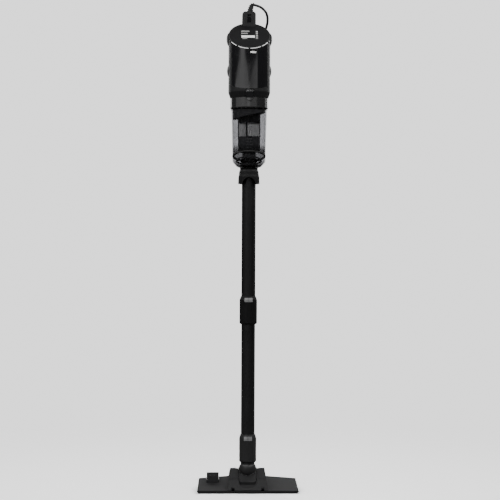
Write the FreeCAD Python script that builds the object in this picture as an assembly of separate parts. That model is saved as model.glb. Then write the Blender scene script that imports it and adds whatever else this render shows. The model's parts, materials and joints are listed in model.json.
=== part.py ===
"""Corded stick vacuum cleaner: floor nozzle, jointed neck, two-piece wand and a hand unit with a dust cup.

Millimetres, +Z up. The origin is on the floor, under the wand's axis. -Y is the front, where the nozzle's
long edge is, and +Y is the user's side, where the handle is. Each function at the foot of a section returns
the sub-parts of one assembly by node name, and the script writes one STEP file per node.
"""

import FreeCAD, Part
import math
import os
from FreeCAD import Vector

# ---- Driving dimensions ----
NOZZLE_HALF_WIDTH = 116.0
NOZZLE_FRONT = -42.0
NOZZLE_REAR = 47.0
HUMP_HEIGHT = 50.0
SOLE_THICKNESS = 2.5
WALL = 2.0

PIVOT_Y = -8.0
PIVOT_Z = 27.0
BARREL_RADIUS = 24.0
BARREL_HALF_LENGTH = 19.8
SLOT_HALF_WIDTH = 20.9
SWIVEL_Z = 50.0
SWIVEL_TILT_DEG = 35.0
SWIVEL_RADIUS = 20.4
TRUNNION_RADIUS = 4.5
TILT_MAX_DEG = 75.0
SWIVEL_MAX_DEG = 40.0
CLEARANCE = 0.8

COLLAR_RADIUS = 20.0
LOWER_TUBE_RADIUS = 15.8
UPPER_TUBE_RADIUS = 16.1
TUBE_WALL = 1.2
SLEEVE_BOTTOM = 66.5
NECK_SOCKET_TOP = 131.0
MID_COLLAR_BOTTOM = 385.0
MID_COLLAR_TOP = 449.7
INLET_BOTTOM = 708.5
INLET_TOP = 745.5

CUP_TOP = 881.7
CUP_TOP_RADIUS = 41.0
CUP_LOW_RADIUS = 38.0
CUP_LOW_Z = 775.0
CUP_COLLAR_RADIUS = 43.8
SEAM_Z = 773.0
SEAM_TILT_DEG = 14.0
MOTOR_UNIT_BOTTOM = 905.2

BODY_RADIUS = 48.6
BODY_INNER = 44.2
FACE_Z = 1051.0
FACE_TILT_DEG = 36.9
BAND_Z = 942.4
BAND_TILT_DEG = 21.8
COVER_HALF_ANGLE = 57.0

HANDLE_HALF_WIDTH = 16.0
HANDLE_TOP = 1114.0
CORD_RADIUS = 3.0
HANK_UPPER_Z = 1056.0
HANK_LOWER_Z = 938.0
HANK_INNER = 15.0
HANK_OUTER = 34.0
HANK_FRONT = 112.0
HANK_DEPTH = 25.2

GAP = 0.3
FAR = 400.0
Z_AXIS = Vector(0, 0, 1)
X_AXIS = Vector(1, 0, 0)
Y_AXIS = Vector(0, 1, 0)


# ---- Shape helpers ----
def outline(points, place):
    """A face from corners (u, v) or (u, v, corner radius); place turns u, v into a point."""
    corners = [(p[0], p[1], p[2] if len(p) > 2 else 0.0) for p in points]
    flat = [Vector(u, v, 0) for u, v, r in corners]
    edges = []
    first = last = None
    for i, (u, v, r) in enumerate(corners):
        here = flat[i]
        back = (flat[i - 1] - here).normalize()
        ahead = (flat[(i + 1) % len(flat)] - here).normalize()
        if r > 0:
            half = back.getAngle(ahead) / 2
            reach = r / math.tan(half)
            start = here + back * reach
            end = here + ahead * reach
            middle = here + (back + ahead).normalize() * (r / math.sin(half) - r)
            arc = [place(p.x, p.y) for p in (start, middle, end)]
            if last is not None:
                edges.append(Part.LineSegment(last, arc[0]).toShape())
            edges.append(Part.Arc(*arc).toShape())
            first, last = first or arc[0], arc[2]
        else:
            point = place(u, v)
            if last is not None:
                edges.append(Part.LineSegment(last, point).toShape())
            first, last = first or point, point
    edges.append(Part.LineSegment(last, first).toShape())
    return Part.Face(Part.Wire(edges))


def turned(points):
    """A solid of revolution about Z from (radius, z) corners."""
    return outline(points, lambda u, v: Vector(u, 0, v)).revolve(Vector(), Z_AXIS, 360)


def across(points, x0, x1):
    """A (y, z) outline carried along X."""
    return outline(points, lambda u, v: Vector(x0, u, v)).extrude(X_AXIS * (x1 - x0))


def along(points, y0, y1):
    """An (x, z) outline carried along Y."""
    return outline(points, lambda u, v: Vector(u, y0, v)).extrude(Y_AXIS * (y1 - y0))


def upward(points, z0, z1):
    """An (x, y) outline carried along Z."""
    return outline(points, lambda u, v: Vector(u, v, z0)).extrude(Z_AXIS * (z1 - z0))


def block(x0, x1, y0, y1, z0, z1):
    return Part.makeBox(x1 - x0, y1 - y0, z1 - z0, Vector(x0, y0, z0))


def rod(radius, z0, z1):
    return Part.makeCylinder(radius, z1 - z0, Vector(0, 0, z0))


def pipe(outer, inner, z0, z1):
    return rod(outer, z0, z1).cut(rod(inner, z0 - 1, z1 + 1))


def cross_rod(radius, x0, x1, y, z):
    return Part.makeCylinder(radius, x1 - x0, Vector(x0, y, z), X_AXIS)


def joined(shapes):
    """One solid from several that overlap."""
    result = shapes[0].multiFuse(shapes[1:])
    return result.removeSplitter()


def group(shapes):
    """Separate solids kept in one node."""
    return Part.makeCompound(shapes)


def mirrored(shape):
    return shape.mirror(Vector(), X_AXIS)


def above(z, tilt_deg, lift=0.0):
    """The half space above a plane through (0, 0, z) that rises towards +Y at the tilt."""
    half = Part.makeBox(2 * FAR, 2 * FAR, FAR, Vector(-FAR, -FAR, lift))
    half.rotate(Vector(), X_AXIS, tilt_deg)
    half.translate(Vector(0, 0, z))
    return half


def slab(z, tilt_deg, low, high):
    """The space between two such planes, low and high being measured square to them."""
    layer = Part.makeBox(2 * FAR, 2 * FAR, high - low, Vector(-FAR, -FAR, low))
    layer.rotate(Vector(), X_AXIS, tilt_deg)
    layer.translate(Vector(0, 0, z))
    return layer


def sector(half_angle, z0, z1):
    """A wedge that opens towards -Y."""
    reach = 120.0
    side = reach * math.tan(math.radians(half_angle / 2))
    near = [(0, 0), (-side, -reach), (side, -reach)]
    wedge = upward(near, z0, z1)
    left = wedge.copy()
    left.rotate(Vector(), Z_AXIS, -half_angle / 2)
    right = wedge.copy()
    right.rotate(Vector(), Z_AXIS, half_angle / 2)
    return joined([left, right])


def ellipsoid(x, y, z, rx, ry, rz):
    ball = Part.makeSphere(1.0)
    stretch = FreeCAD.Matrix(rx, 0, 0, x, 0, ry, 0, y, 0, 0, rz, z, 0, 0, 0, 1)
    return ball.transformGeometry(stretch)


def softened(shape, radius, wanted):
    """The shape with the edges that wanted() picks rounded."""
    edges = [e for e in shape.Edges if wanted(e)]
    return shape.makeFillet(radius, edges) if edges else shape


# ---- Floor nozzle ----
def wing_section(x, front, rear, front_height, rear_height, floor):
    points = [(front, floor), (front, front_height), (rear, rear_height), (rear, floor)]
    return Part.makePolygon([Vector(x, y, z) for y, z in points + points[:1]])


def wing_body(inset):
    """The low, wide body: deeper and taller towards the middle."""
    end = NOZZLE_HALF_WIDTH + 1 - inset
    root = 38.0
    sections = []
    for x in (-end, -root, root, end):
        outer = abs(x) > root
        rear = (39.0 if outer else NOZZLE_REAR) - inset
        top = (22.5 if outer else 27.5) - inset
        front_height = 7.0 - 0.6 * inset
        sections.append(wing_section(x, NOZZLE_FRONT + inset, rear, front_height, top, SOLE_THICKNESS))
    body = Part.makeLoft(sections, True, True)
    plan = upward(
        [
            (-NOZZLE_HALF_WIDTH + inset, NOZZLE_FRONT + inset, 5),
            (NOZZLE_HALF_WIDTH - inset, NOZZLE_FRONT + inset, 5),
            (NOZZLE_HALF_WIDTH - 3.5 - inset, NOZZLE_REAR + 1 - inset, 5),
            (-NOZZLE_HALF_WIDTH + 3.5 + inset, NOZZLE_REAR + 1 - inset, 5),
        ],
        0,
        60,
    )
    return body.common(plan)


def tunnel_body(inset):
    """The raised middle that carries the neck: it ramps up to a hump over the ball and falls to the rear."""
    side = across(
        [
            (NOZZLE_FRONT + 1.5 + inset, SOLE_THICKNESS),
            (NOZZLE_FRONT + 1.5 + inset, 8.0 - 0.5 * inset),
            (-24 + inset / 2, 31.0 - inset, 18),
            (8, HUMP_HEIGHT - inset, 12),
            (22, HUMP_HEIGHT - inset, 12),
            (NOZZLE_REAR + 0.5 - inset, 40.0 - inset, 4),
            (NOZZLE_REAR + 0.5 - inset, SOLE_THICKNESS),
        ],
        -60,
        60,
    )
    front_view = along(
        [
            (-47.5 + inset, SOLE_THICKNESS),
            (-39.0 + inset, HUMP_HEIGHT + 2.5 - inset, 5),
            (39.0 - inset, HUMP_HEIGHT + 2.5 - inset, 5),
            (47.5 - inset, SOLE_THICKNESS),
        ],
        -60,
        60,
    )
    return side.common(front_view)


def neck_slot(half_width, front):
    """The U-shaped opening that the neck sits and tilts in."""
    return upward(
        [
            (-half_width, 80),
            (-half_width, front, half_width * 0.62),
            (half_width, front, half_width * 0.62),
            (half_width, 80),
        ],
        -1,
        80,
    )


def neck_clearance(margin):
    """The room that the neck's sleeve needs behind the tilt axis when the wand is laid back and turned."""
    swept = []
    for tilt in (TILT_MAX_DEG - 25, TILT_MAX_DEG - 13, TILT_MAX_DEG):
        for turn in (-SWIVEL_MAX_DEG, -SWIVEL_MAX_DEG / 2, SWIVEL_MAX_DEG / 2, SWIVEL_MAX_DEG):
            sleeve = Part.makeCylinder(COLLAR_RADIUS + margin, 110, Vector(0, 0, SLEEVE_BOTTOM - 1))
            sleeve.rotate(Vector(0, 0, SWIVEL_Z), swivel_axis(), turn)
            sleeve.rotate(Vector(0, PIVOT_Y, PIVOT_Z), X_AXIS, -tilt)
            swept.append(sleeve)
    return joined(swept)


PEDAL_X0, PEDAL_X1 = -94.5, -66.5
PEDAL_PIN_Y, PEDAL_PIN_Z = 26.0, 14.0
WHEEL_RADIUS = 9.0
WHEEL_X0, WHEEL_X1 = 31.5, 40.0
WHEEL_Y, WHEEL_Z = 35.0, 9.15


def nozzle_cover():
    outside = joined([wing_body(0), tunnel_body(0)])
    inside = joined([wing_body(WALL), tunnel_body(WALL)]).cut(neck_clearance(CLEARANCE + WALL))
    cover = outside.cut(neck_clearance(CLEARANCE)).cut(inside)
    cover = cover.cut(neck_slot(SLOT_HALF_WIDTH, NOZZLE_FRONT + 4.5))
    cover = cover.cut(block(PEDAL_X0 - 0.4, PEDAL_X1 + 0.4, 7.3, 60, 0, 60))
    for x in (-WHEEL_X1 - 1.5, WHEEL_X0 - 1.5):
        width = WHEEL_X1 - WHEEL_X0 + 3
        cover = cover.cut(block(x, x + width, WHEEL_Y, 60, 0, 13))
    for x in (-34.0, 34.0):
        cover = cover.cut(block(x - 3.5, x + 3.5, NOZZLE_FRONT - 2, NOZZLE_FRONT + 5.5, 5.5, 20))
    posts = []
    for x in SCREW_X:
        post = Part.makeCylinder(3.2, 40.0, Vector(x, SCREW_Y, SOLE_THICKNESS)).common(wing_body(WALL / 2))
        posts.append(post.cut(Part.makeCylinder(1.3, 8.0, Vector(x, SCREW_Y, SOLE_THICKNESS - 0.5))))
    return joined([cover] + posts)


SCREW_X = (-104.0, -52.0, 52.0, 104.0)
SCREW_Y = 22.0
MOUTH = (-88.0, 88.0, -21.0, -7.0)
BRUSH_FRONT_Y = -27.0
BRUSH_REAR_Y = 0.0
BRUSH_HALF = 1.6
BRUSH_LENGTH = 98.0
BRUSH_INNER = 26.0


def brush_strips(half_width, margin, z0, z1):
    """The long front strip and the two short rear ones, as boxes."""
    end = BRUSH_LENGTH + margin
    near = BRUSH_INNER - margin
    front = block(-end, end, BRUSH_FRONT_Y - half_width, BRUSH_FRONT_Y + half_width, z0, z1)
    right = block(near, end, BRUSH_REAR_Y - half_width, BRUSH_REAR_Y + half_width, z0, z1)
    return [front, right, mirrored(right)]


def sole_plate():
    inset = 1.0
    plate = upward(
        [
            (-NOZZLE_HALF_WIDTH + inset, NOZZLE_FRONT + inset, 4.5),
            (NOZZLE_HALF_WIDTH - inset, NOZZLE_FRONT + inset, 4.5),
            (NOZZLE_HALF_WIDTH - 4 - inset, 38.0, 4.5),
            (39.0, NOZZLE_REAR - inset),
            (-39.0, NOZZLE_REAR - inset),
            (-NOZZLE_HALF_WIDTH + 4 + inset, 38.0, 4.5),
        ],
        0,
        SOLE_THICKNESS - 0.05,
    )
    mouth = upward(
        [(MOUTH[0], MOUTH[2], 6), (MOUTH[1], MOUTH[2], 6), (MOUTH[1], MOUTH[3], 6), (MOUTH[0], MOUTH[3], 6)],
        -1,
        5,
    )
    plate = plate.cut(mouth)
    plate = plate.cut(block(-23.5, 23.5, 14.5, 60, -1, 5))
    for strip in brush_strips(BRUSH_HALF + 0.5, 0.6, -1, 5):
        plate = plate.cut(strip)
    for x in (-WHEEL_X1 - 1.5, WHEEL_X0 - 1.5):
        width = WHEEL_X1 - WHEEL_X0 + 3
        plate = plate.cut(block(x, x + width, WHEEL_Y - WHEEL_RADIUS - 1.5, 60, -1, 5))
    plate = plate.cut(block(PEDAL_X0 - 0.7, PEDAL_X1 + 0.7, 30, 60, -1, 5))
    for x in SCREW_X:
        plate = plate.cut(Part.makeCylinder(1.7, 5, Vector(x, SCREW_Y, -1)))
        plate = plate.cut(Part.makeCylinder(3.2, 1.3, Vector(x, SCREW_Y, -0.1)))
    return plate


def nozzle_screws():
    """Four countersunk screws that hold the sole to the cover's posts."""
    screws = []
    for x in SCREW_X:
        head = Part.makeCylinder(2.9, 0.9, Vector(x, SCREW_Y, 0.3))
        head = head.cut(block(x - 2, x + 2, SCREW_Y - 0.35, SCREW_Y + 0.35, 0, 0.7))
        shank = Part.makeCylinder(1.25, 7.0, Vector(x, SCREW_Y, 1.0))
        screws.append(joined([head, shank]))
    return group(screws)


def hinge_cradle():
    """The closed front of the neck's slot, close round the barrel."""
    wedge = across(
        [
            (NOZZLE_FRONT + 5.0, SOLE_THICKNESS),
            (NOZZLE_FRONT + 5.0, 8.0, 3),
            (-31.5, 19.5, 1.5),
            (-20, 19.5),
            (-20, 7.7),
            (-30, 7.7),
            (-30, SOLE_THICKNESS),
        ],
        -BARREL_HALF_LENGTH - 0.6,
        BARREL_HALF_LENGTH + 0.6,
    )
    wedge = wedge.common(neck_slot(SLOT_HALF_WIDTH - 0.5, NOZZLE_FRONT + 5.0))
    return wedge.cut(cross_rod(BARREL_RADIUS + GAP, -60, 60, PIVOT_Y, PIVOT_Z))


def hinge_bearings():
    """Two cheeks that close the tunnel's sides and hold the neck's trunnions."""
    plate = across(
        [
            (-36.5, SOLE_THICKNESS),
            (-36.5, 60),
            (44.5, 60),
            (44.5, SOLE_THICKNESS),
        ],
        SLOT_HALF_WIDTH + 0.05,
        SLOT_HALF_WIDTH + 2.4,
    )
    plate = plate.common(tunnel_body(WALL + 0.05)).cut(neck_clearance(CLEARANCE + WALL + 0.05))
    boss = cross_rod(6.3, SLOT_HALF_WIDTH + 1, SLOT_HALF_WIDTH + 7, PIVOT_Y, PIVOT_Z)
    near = SLOT_HALF_WIDTH + 1
    foot = block(near, near + 6, PIVOT_Y - 7, PIVOT_Y + 12, SOLE_THICKNESS, PIVOT_Z - 4)
    foot = foot.cut(block(0, 60, BRUSH_REAR_Y - 3.2, BRUSH_REAR_Y + 3.2, 0, 9))
    cheek = joined([plate, boss, foot])
    cheek = cheek.cut(block(0, 60, -45, -22.5, 0, 9.5))
    cheek = cheek.cut(cross_rod(TRUNNION_RADIUS + 0.06, 0, 60, PIVOT_Y, PIVOT_Z))
    return group([cheek, mirrored(cheek)])


def front_bumper():
    """A soft strip along the foot of the nozzle's front edge."""
    strip = upward(
        [
            (-NOZZLE_HALF_WIDTH - 0.8, NOZZLE_FRONT - 0.9, 5.8),
            (NOZZLE_HALF_WIDTH + 0.8, NOZZLE_FRONT - 0.9, 5.8),
            (NOZZLE_HALF_WIDTH + 0.2, NOZZLE_FRONT + 16),
            (-NOZZLE_HALF_WIDTH - 0.2, NOZZLE_FRONT + 16),
        ],
        2.8,
        5.2,
    )
    return strip.cut(wing_body(-0.05)).cut(block(-FAR, FAR, NOZZLE_FRONT + 14, FAR, 0, 50))


def wheel():
    tyre = cross_rod(WHEEL_RADIUS, WHEEL_X0, WHEEL_X1, WHEEL_Y, WHEEL_Z)
    tyre = softened(tyre, 1.2, lambda e: isinstance(e.Curve, Part.Circle))
    tyre = tyre.cut(cross_rod(6.0, WHEEL_X1 - 1.5, WHEEL_X1 + 1, WHEEL_Y, WHEEL_Z))
    return tyre.cut(cross_rod(1.55, 0, 80, WHEEL_Y, WHEEL_Z))


def wheel_axles():
    axle = cross_rod(1.5, WHEEL_X0 - 4, WHEEL_X1 + 3, WHEEL_Y, WHEEL_Z)
    bracket = block(WHEEL_X1 + 0.6, WHEEL_X1 + 3, WHEEL_Y - 4, WHEEL_Y + 4, SOLE_THICKNESS, WHEEL_Z + 4)
    inner = block(WHEEL_X0 - 3.2, WHEEL_X0 - 0.6, WHEEL_Y - 4, WHEEL_Y + 4, SOLE_THICKNESS, WHEEL_Z + 4)
    carrier = joined([axle, bracket, inner])
    return group([carrier, mirrored(carrier)])


def pedal():
    def shell(inset, x0, x1):
        return across(
            [
                (8 + inset, 9 - 2 * inset),
                (8 + inset, 34 - inset, 1.5),
                (42, 36.5 - inset, 5),
                (51 - inset, 26 - inset / 2, 5),
                (49 - inset, 9 - 2 * inset),
            ],
            x0,
            x1,
        )

    body = shell(0, PEDAL_X0, PEDAL_X1)
    body = softened(body, 1.0, lambda e: e.BoundBox.XLength < 0.01 and e.BoundBox.ZMin > 12)
    body = body.cut(shell(WALL, PEDAL_X0 + WALL, PEDAL_X1 - WALL))
    ears = []
    for x in (PEDAL_X0 + 1, PEDAL_X1 - 4):
        ears.append(block(x, x + 3, PEDAL_PIN_Y - 4, PEDAL_PIN_Y + 4, 9.5, 34))
    body = joined([body] + ears)
    return body.cut(cross_rod(1.6, -FAR, 0, PEDAL_PIN_Y, PEDAL_PIN_Z))


def pedal_pin():
    """The pedal's hinge pin in its two posts on the sole."""
    pin = cross_rod(1.5, PEDAL_X0 + 0.5, PEDAL_X1 - 0.5, PEDAL_PIN_Y, PEDAL_PIN_Z)
    middle = (PEDAL_X0 + PEDAL_X1) / 2
    posts = []
    for x in (middle - 7, middle + 4):
        posts.append(block(x, x + 3, PEDAL_PIN_Y - 3, PEDAL_PIN_Y + 3, SOLE_THICKNESS, PEDAL_PIN_Z + 3))
    return joined([pin] + posts)


def brush_carrier():
    strips = brush_strips(BRUSH_HALF, 0, 5.0, 7.0)
    link = block(92, 96, BRUSH_FRONT_Y, BRUSH_REAR_Y, 5.7, 7.0)
    return joined(strips + [link, mirrored(link)])


def brush_bristles():
    """Rows of tufts under the carrier, clear of the floor while it is up."""
    tufts = []
    pitch = 4.0
    for strip in brush_strips(1.1, -1.0, 0.4, 5.0):
        box = strip.BoundBox
        count = int((box.XMax - box.XMin) / pitch)
        for i in range(count):
            x = box.XMin + (i + 0.5) * (box.XMax - box.XMin) / count
            y = (box.YMin + box.YMax) / 2
            tufts.append(Part.makeCylinder(1.15, 4.6, Vector(x, y, 0.4)))
    return group(tufts)


def nozzle_parts():
    return {
        "nozzle_cover": nozzle_cover(),
        "sole_plate": sole_plate(),
        "nozzle_screws": nozzle_screws(),
        "hinge_cradle": hinge_cradle(),
        "hinge_bearings": hinge_bearings(),
        "front_bumper": front_bumper(),
        "wheel_axles": wheel_axles(),
        "wheel_right": wheel(),
        "wheel_left": mirrored(wheel()),
        "pedal": pedal(),
        "pedal_pin": pedal_pin(),
        "brush_carrier": brush_carrier(),
        "brush_bristles": brush_bristles(),
    }


# ---- Neck ----
def swivel_half(upper, lift=0.0):
    """The half space above or below the swivel plane, which faces up and forward."""
    half = above(0, SWIVEL_TILT_DEG, lift) if upper else slab(0, SWIVEL_TILT_DEG, -FAR, lift)
    half.translate(Vector(0, 0, SWIVEL_Z))
    return half


def swivel_axis():
    tilt = math.radians(SWIVEL_TILT_DEG)
    return Vector(0, -math.sin(tilt), math.cos(tilt))


def swivel_rod(radius, low, high):
    """A cylinder on the swivel axis, between two heights above the swivel plane."""
    axis = swivel_axis()
    return Part.makeCylinder(radius, high - low, Vector(0, 0, SWIVEL_Z) + axis * low, axis)


def ball(radius):
    return Part.makeSphere(radius, Vector(0, 0, SWIVEL_Z))


def barrel(radius, half_length, corner):
    """The neck's hinge drum, lying along X on the tilt axis."""
    face = outline(
        [(-half_length, 0), (-half_length, radius, corner), (half_length, radius, corner), (half_length, 0)],
        lambda u, v: Vector(u, PIVOT_Y, PIVOT_Z + v),
    )
    return face.revolve(Vector(0, PIVOT_Y, PIVOT_Z), X_AXIS, 360)


def neck_elbow():
    """The drum and the lower half of the swivel ball, open to the sole below."""
    ring_depth = 1.8
    outside = joined(
        [
            barrel(BARREL_RADIUS, BARREL_HALF_LENGTH, 7),
            ball(SWIVEL_RADIUS).common(swivel_half(False, -ring_depth - 0.02)),
        ]
    )
    inside = joined([barrel(BARREL_RADIUS - 3, BARREL_HALF_LENGTH - 3, 5), ball(SWIVEL_RADIUS - 3.2)])
    deck = barrel(BARREL_RADIUS - 0.5, BARREL_HALF_LENGTH - 0.5, 6).cut(swivel_half(False, -ring_depth - 2.6))
    deck = deck.cut(ball(SWIVEL_RADIUS - 3.2))
    elbow = joined([outside.cut(inside), deck]).cut(swivel_half(True, -ring_depth))
    intake = across(
        [(PIVOT_Y - 14, -5), (PIVOT_Y - 14, PIVOT_Z - 12), (PIVOT_Y + 6, PIVOT_Z - 16), (PIVOT_Y + 6, -5)],
        -13.0,
        13.0,
    )
    elbow = elbow.cut(intake)
    pin_end = SLOT_HALF_WIDTH + 6.0
    pins = cross_rod(TRUNNION_RADIUS, -pin_end, pin_end, PIVOT_Y, PIVOT_Z)
    pins = pins.cut(cross_rod(FAR, -BARREL_HALF_LENGTH + 1, BARREL_HALF_LENGTH - 1, 0, 0))
    return joined([elbow] + pins.Solids)


def swivel_ring():
    """The bright-edged retaining ring between the two halves of the swivel ball."""
    ring = swivel_rod(SWIVEL_RADIUS + 0.3, -1.8, -0.05).cut(swivel_rod(17.08, -3, 1))
    return softened(ring, 0.5, lambda e: isinstance(e.Curve, Part.Circle) and e.Curve.Radius > SWIVEL_RADIUS)


def collar_profile(radius, bottom, top, grow=0.0):
    """Half outline of a wand collar: a straight sleeve with a tapered shoulder at its top."""
    return [
        (1.0, bottom - grow),
        (radius + grow - 2.5, bottom - grow),
        (radius + grow, bottom + 2.5 - grow, 2),
        (radius + grow, top - 9.0, 4),
        (16.95 + grow, top + grow, 1),
        (1.0, top + grow),
    ]


BUTTON_HALF_WIDTH = 9.5
BUTTON_LOW, BUTTON_HIGH = 13.5, 3.6


def button_space(top, margin):
    """The window in a collar's shoulder for its release button."""
    return block(
        -BUTTON_HALF_WIDTH - margin,
        BUTTON_HALF_WIDTH + margin,
        -30,
        -12,
        top - BUTTON_LOW - margin,
        top - BUTTON_HIGH + margin,
    )


def collar_button(radius, bottom, top):
    """A curved button that stands a little proud of the collar's shoulder, with a finger groove."""
    button = turned(collar_profile(radius, bottom, top, 0.9)).common(button_space(top, 0))
    button = button.cut(rod(18.0, bottom - 5, top + 5))
    return button.cut(block(-0.9, 0.9, -30, -COLLAR_RADIUS + 1.2, top - BUTTON_LOW + 2, top))


def neck_socket():
    """The upper half of the swivel ball with the sleeve that takes the lower tube."""
    dome = ball(SWIVEL_RADIUS - 0.3).common(swivel_half(True, 0))
    stem = rod(16.0, SWIVEL_Z, 70)
    stem = stem.common(swivel_half(True, 4))
    sleeve = turned(collar_profile(COLLAR_RADIUS - 0.3, SLEEVE_BOTTOM, NECK_SOCKET_TOP))
    outside = joined([dome, stem, sleeve])
    bore = rod(LOWER_TUBE_RADIUS + 0.2, 71.0, 140)
    throat = rod(13.0, SWIVEL_Z - 30, 75).common(swivel_half(True, -1))
    hollow = ball(SWIVEL_RADIUS - 3.6)
    body = outside.cut(bore).cut(throat).cut(hollow)
    spigot = swivel_rod(17.0, -1.8, 3).cut(swivel_rod(15.0, -7, 5))
    body = joined([body, spigot])
    return body.cut(button_space(NECK_SOCKET_TOP, 0.4))


def neck_parts():
    return {
        "neck_elbow": neck_elbow(),
        "swivel_ring": swivel_ring(),
        "neck_socket": neck_socket(),
        "neck_button": collar_button(COLLAR_RADIUS - 0.3, SLEEVE_BOTTOM, NECK_SOCKET_TOP),
    }


# ---- Wand ----
def mid_collar():
    body = turned(collar_profile(COLLAR_RADIUS + 0.2, MID_COLLAR_BOTTOM, MID_COLLAR_TOP))
    body = body.cut(rod(LOWER_TUBE_RADIUS + 0.05, MID_COLLAR_BOTTOM - 5, MID_COLLAR_BOTTOM + 11.5))
    body = body.cut(rod(LOWER_TUBE_RADIUS - TUBE_WALL, MID_COLLAR_BOTTOM, FAR + 100))
    body = body.cut(rod(UPPER_TUBE_RADIUS + 0.2, MID_COLLAR_BOTTOM + 13.5, FAR + 100))
    return body.cut(button_space(MID_COLLAR_TOP, 0.4))


def wand_parts():
    lower = pipe(LOWER_TUBE_RADIUS, LOWER_TUBE_RADIUS - TUBE_WALL, 71.2, MID_COLLAR_BOTTOM + 11.3)
    upper = pipe(UPPER_TUBE_RADIUS, UPPER_TUBE_RADIUS - TUBE_WALL, MID_COLLAR_BOTTOM + 13.7, INLET_TOP - 0.5)
    return {
        "lower_tube": lower,
        "mid_collar": mid_collar(),
        "mid_button": collar_button(COLLAR_RADIUS + 0.2, MID_COLLAR_BOTTOM, MID_COLLAR_TOP),
        "upper_tube": upper,
    }


# ---- Dust cup ----
def inlet_profile(grow=0.0):
    return [
        (10, INLET_BOTTOM),
        (24.8 + grow, INLET_BOTTOM),
        (24.2 + grow, 725.0, 3),
        (23.0 + grow, 730.0, 2),
        (22.4 + grow, 737.0, 4),
        (20.6 + grow, 741.0, 2),
        (20.6 + grow, INLET_TOP),
        (10, INLET_TOP),
    ]


def arch(radius):
    return Part.makeCylinder(radius, 120, Vector(0, -60, INLET_BOTTOM), Y_AXIS)


def inlet_collar():
    """The flared sleeve under the cup; its foot is cut to an arch at the front and rear."""
    rim = turned(inlet_profile(0.8)).common(arch(17.2))
    body = joined([turned(inlet_profile()), rim])
    body = body.cut(rod(UPPER_TUBE_RADIUS + 0.2, INLET_BOTTOM - 1, INLET_TOP + 1))
    body = body.cut(arch(14.5))
    return body.cut(inlet_button_space(0.4))


def inlet_button_space(margin):
    return block(-6 - margin, 6 + margin, 12, 40, 727 - margin, 736 + margin)


def inlet_button():
    """The push button at the rear that frees the hand unit from the wand."""
    button = turned(inlet_profile(1.2)).common(inlet_button_space(0))
    return button.cut(rod(18.2, INLET_BOTTOM, INLET_TOP))


def cup_profile(inset):
    """Outline of the whole cup, from its neck to its open top."""
    return [
        (20.6, INLET_TOP + 0.05 + inset),
        (27.5, INLET_TOP + 2.2 + inset, 8),
        (CUP_LOW_RADIUS - inset, 759.0 + inset, 11),
        (CUP_LOW_RADIUS - inset, CUP_LOW_Z),
        (CUP_TOP_RADIUS - inset, CUP_TOP),
    ]


def cup_solid(inset):
    wall = cup_profile(inset)
    return turned([(5, wall[0][1])] + wall + [(5, CUP_TOP)])


def cup_shell():
    """The see-through wall, with a rolled lip at the top."""
    lip = turned(
        [
            (CUP_TOP_RADIUS - 1, CUP_TOP - 4.5),
            (CUP_TOP_RADIUS + 1.2, CUP_TOP - 3.5, 1),
            (CUP_TOP_RADIUS + 1.2, CUP_TOP, 0.8),
            (CUP_TOP_RADIUS - 1, CUP_TOP),
        ]
    )
    shell = joined([cup_solid(0), lip])
    shell = shell.cut(cup_solid(2.1))
    return shell.cut(rod(15.7, INLET_TOP - 5, INLET_TOP + 60))


def seam(low, high):
    return slab(SEAM_Z, -SEAM_TILT_DEG, low, high)


def dust_cup():
    return cup_shell().common(seam(1.4, FAR))


def cup_base():
    return cup_shell().common(seam(-FAR, -1.4))


def cup_seal():
    """The slanted rubber seal between the cup and its base."""
    band = turned([(30, 740), (CUP_LOW_RADIUS + 0.7, 740), (CUP_LOW_RADIUS + 0.7, 800), (30, 800)])
    return band.common(seam(-1.35, 1.35)).cut(turned([(5, 740), (34.0, 740), (34.0, 800), (5, 800)]))


PIPE_TOP = 796.0


FLAP_HINGE_Y, FLAP_HINGE_Z = 16.5, PIPE_TOP + 1.0
FLAP_PIN_RADIUS = 0.9


def riser(inner, grow=0.0):
    """The riser's form round a bore of the inner radius, made larger outside by grow."""
    return turned(
        [
            (inner, INLET_TOP + 2.8),
            (22.0 + grow, INLET_TOP + 4.6),
            (19.0 + grow, 754.0 + grow, 4),
            (15.6 + grow, 760.0 + grow, 6),
            (15.6 + grow, PIPE_TOP),
            (inner, PIPE_TOP),
        ]
    )


def inlet_pipe():
    """The riser inside the cup, with a flared foot and two ears that carry the flap's pin."""
    ears = []
    for x in (-8.4, 6.6):
        foot = block(x, x + 1.8, 12.9, 18.3, 788, PIPE_TOP)
        ears.append(joined([foot, block(x, x + 1.8, 14.6, 18.3, 788, PIPE_TOP + 3)]))
    pipe_with_ears = joined([riser(13.6)] + ears)
    return pipe_with_ears.cut(cross_rod(FLAP_PIN_RADIUS + 0.06, -20, 20, FLAP_HINGE_Y, FLAP_HINGE_Z))


def guard_ring():
    """A tilted ring on four fins, pressed on the riser; it keeps long hair off the riser's foot."""
    ring = turned([(27, 740), (30, 740), (30, 800), (27, 800)]).common(seam(-11.5, -9.0))
    hub = turned([(10, 740), (20.0, 740), (20.0, 800), (10, 800)]).common(seam(-11.5, -9.0))
    bars = [block(-28, 28, -0.9, 0.9, 755, 766), block(-0.9, 0.9, -28, 28, 755, 771)]
    fins = [bar.common(seam(-11.3, -9.2)) for bar in bars]
    guard = joined([ring, hub] + fins).cut(riser(1.0, 0.05))
    return max(guard.Solids, key=lambda solid: solid.Volume)


def inlet_flap():
    """A rubber flap that shuts the riser when the motor stops."""
    disc = rod(15.0, PIPE_TOP + 0.2, PIPE_TOP + 1.8)
    tab = block(-6, 6, 12, FLAP_HINGE_Y, PIPE_TOP + 0.2, PIPE_TOP + 1.8)
    pin = cross_rod(FLAP_PIN_RADIUS, -8.3, 8.3, FLAP_HINGE_Y, FLAP_HINGE_Z)
    return joined([disc, tab, pin])


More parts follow.
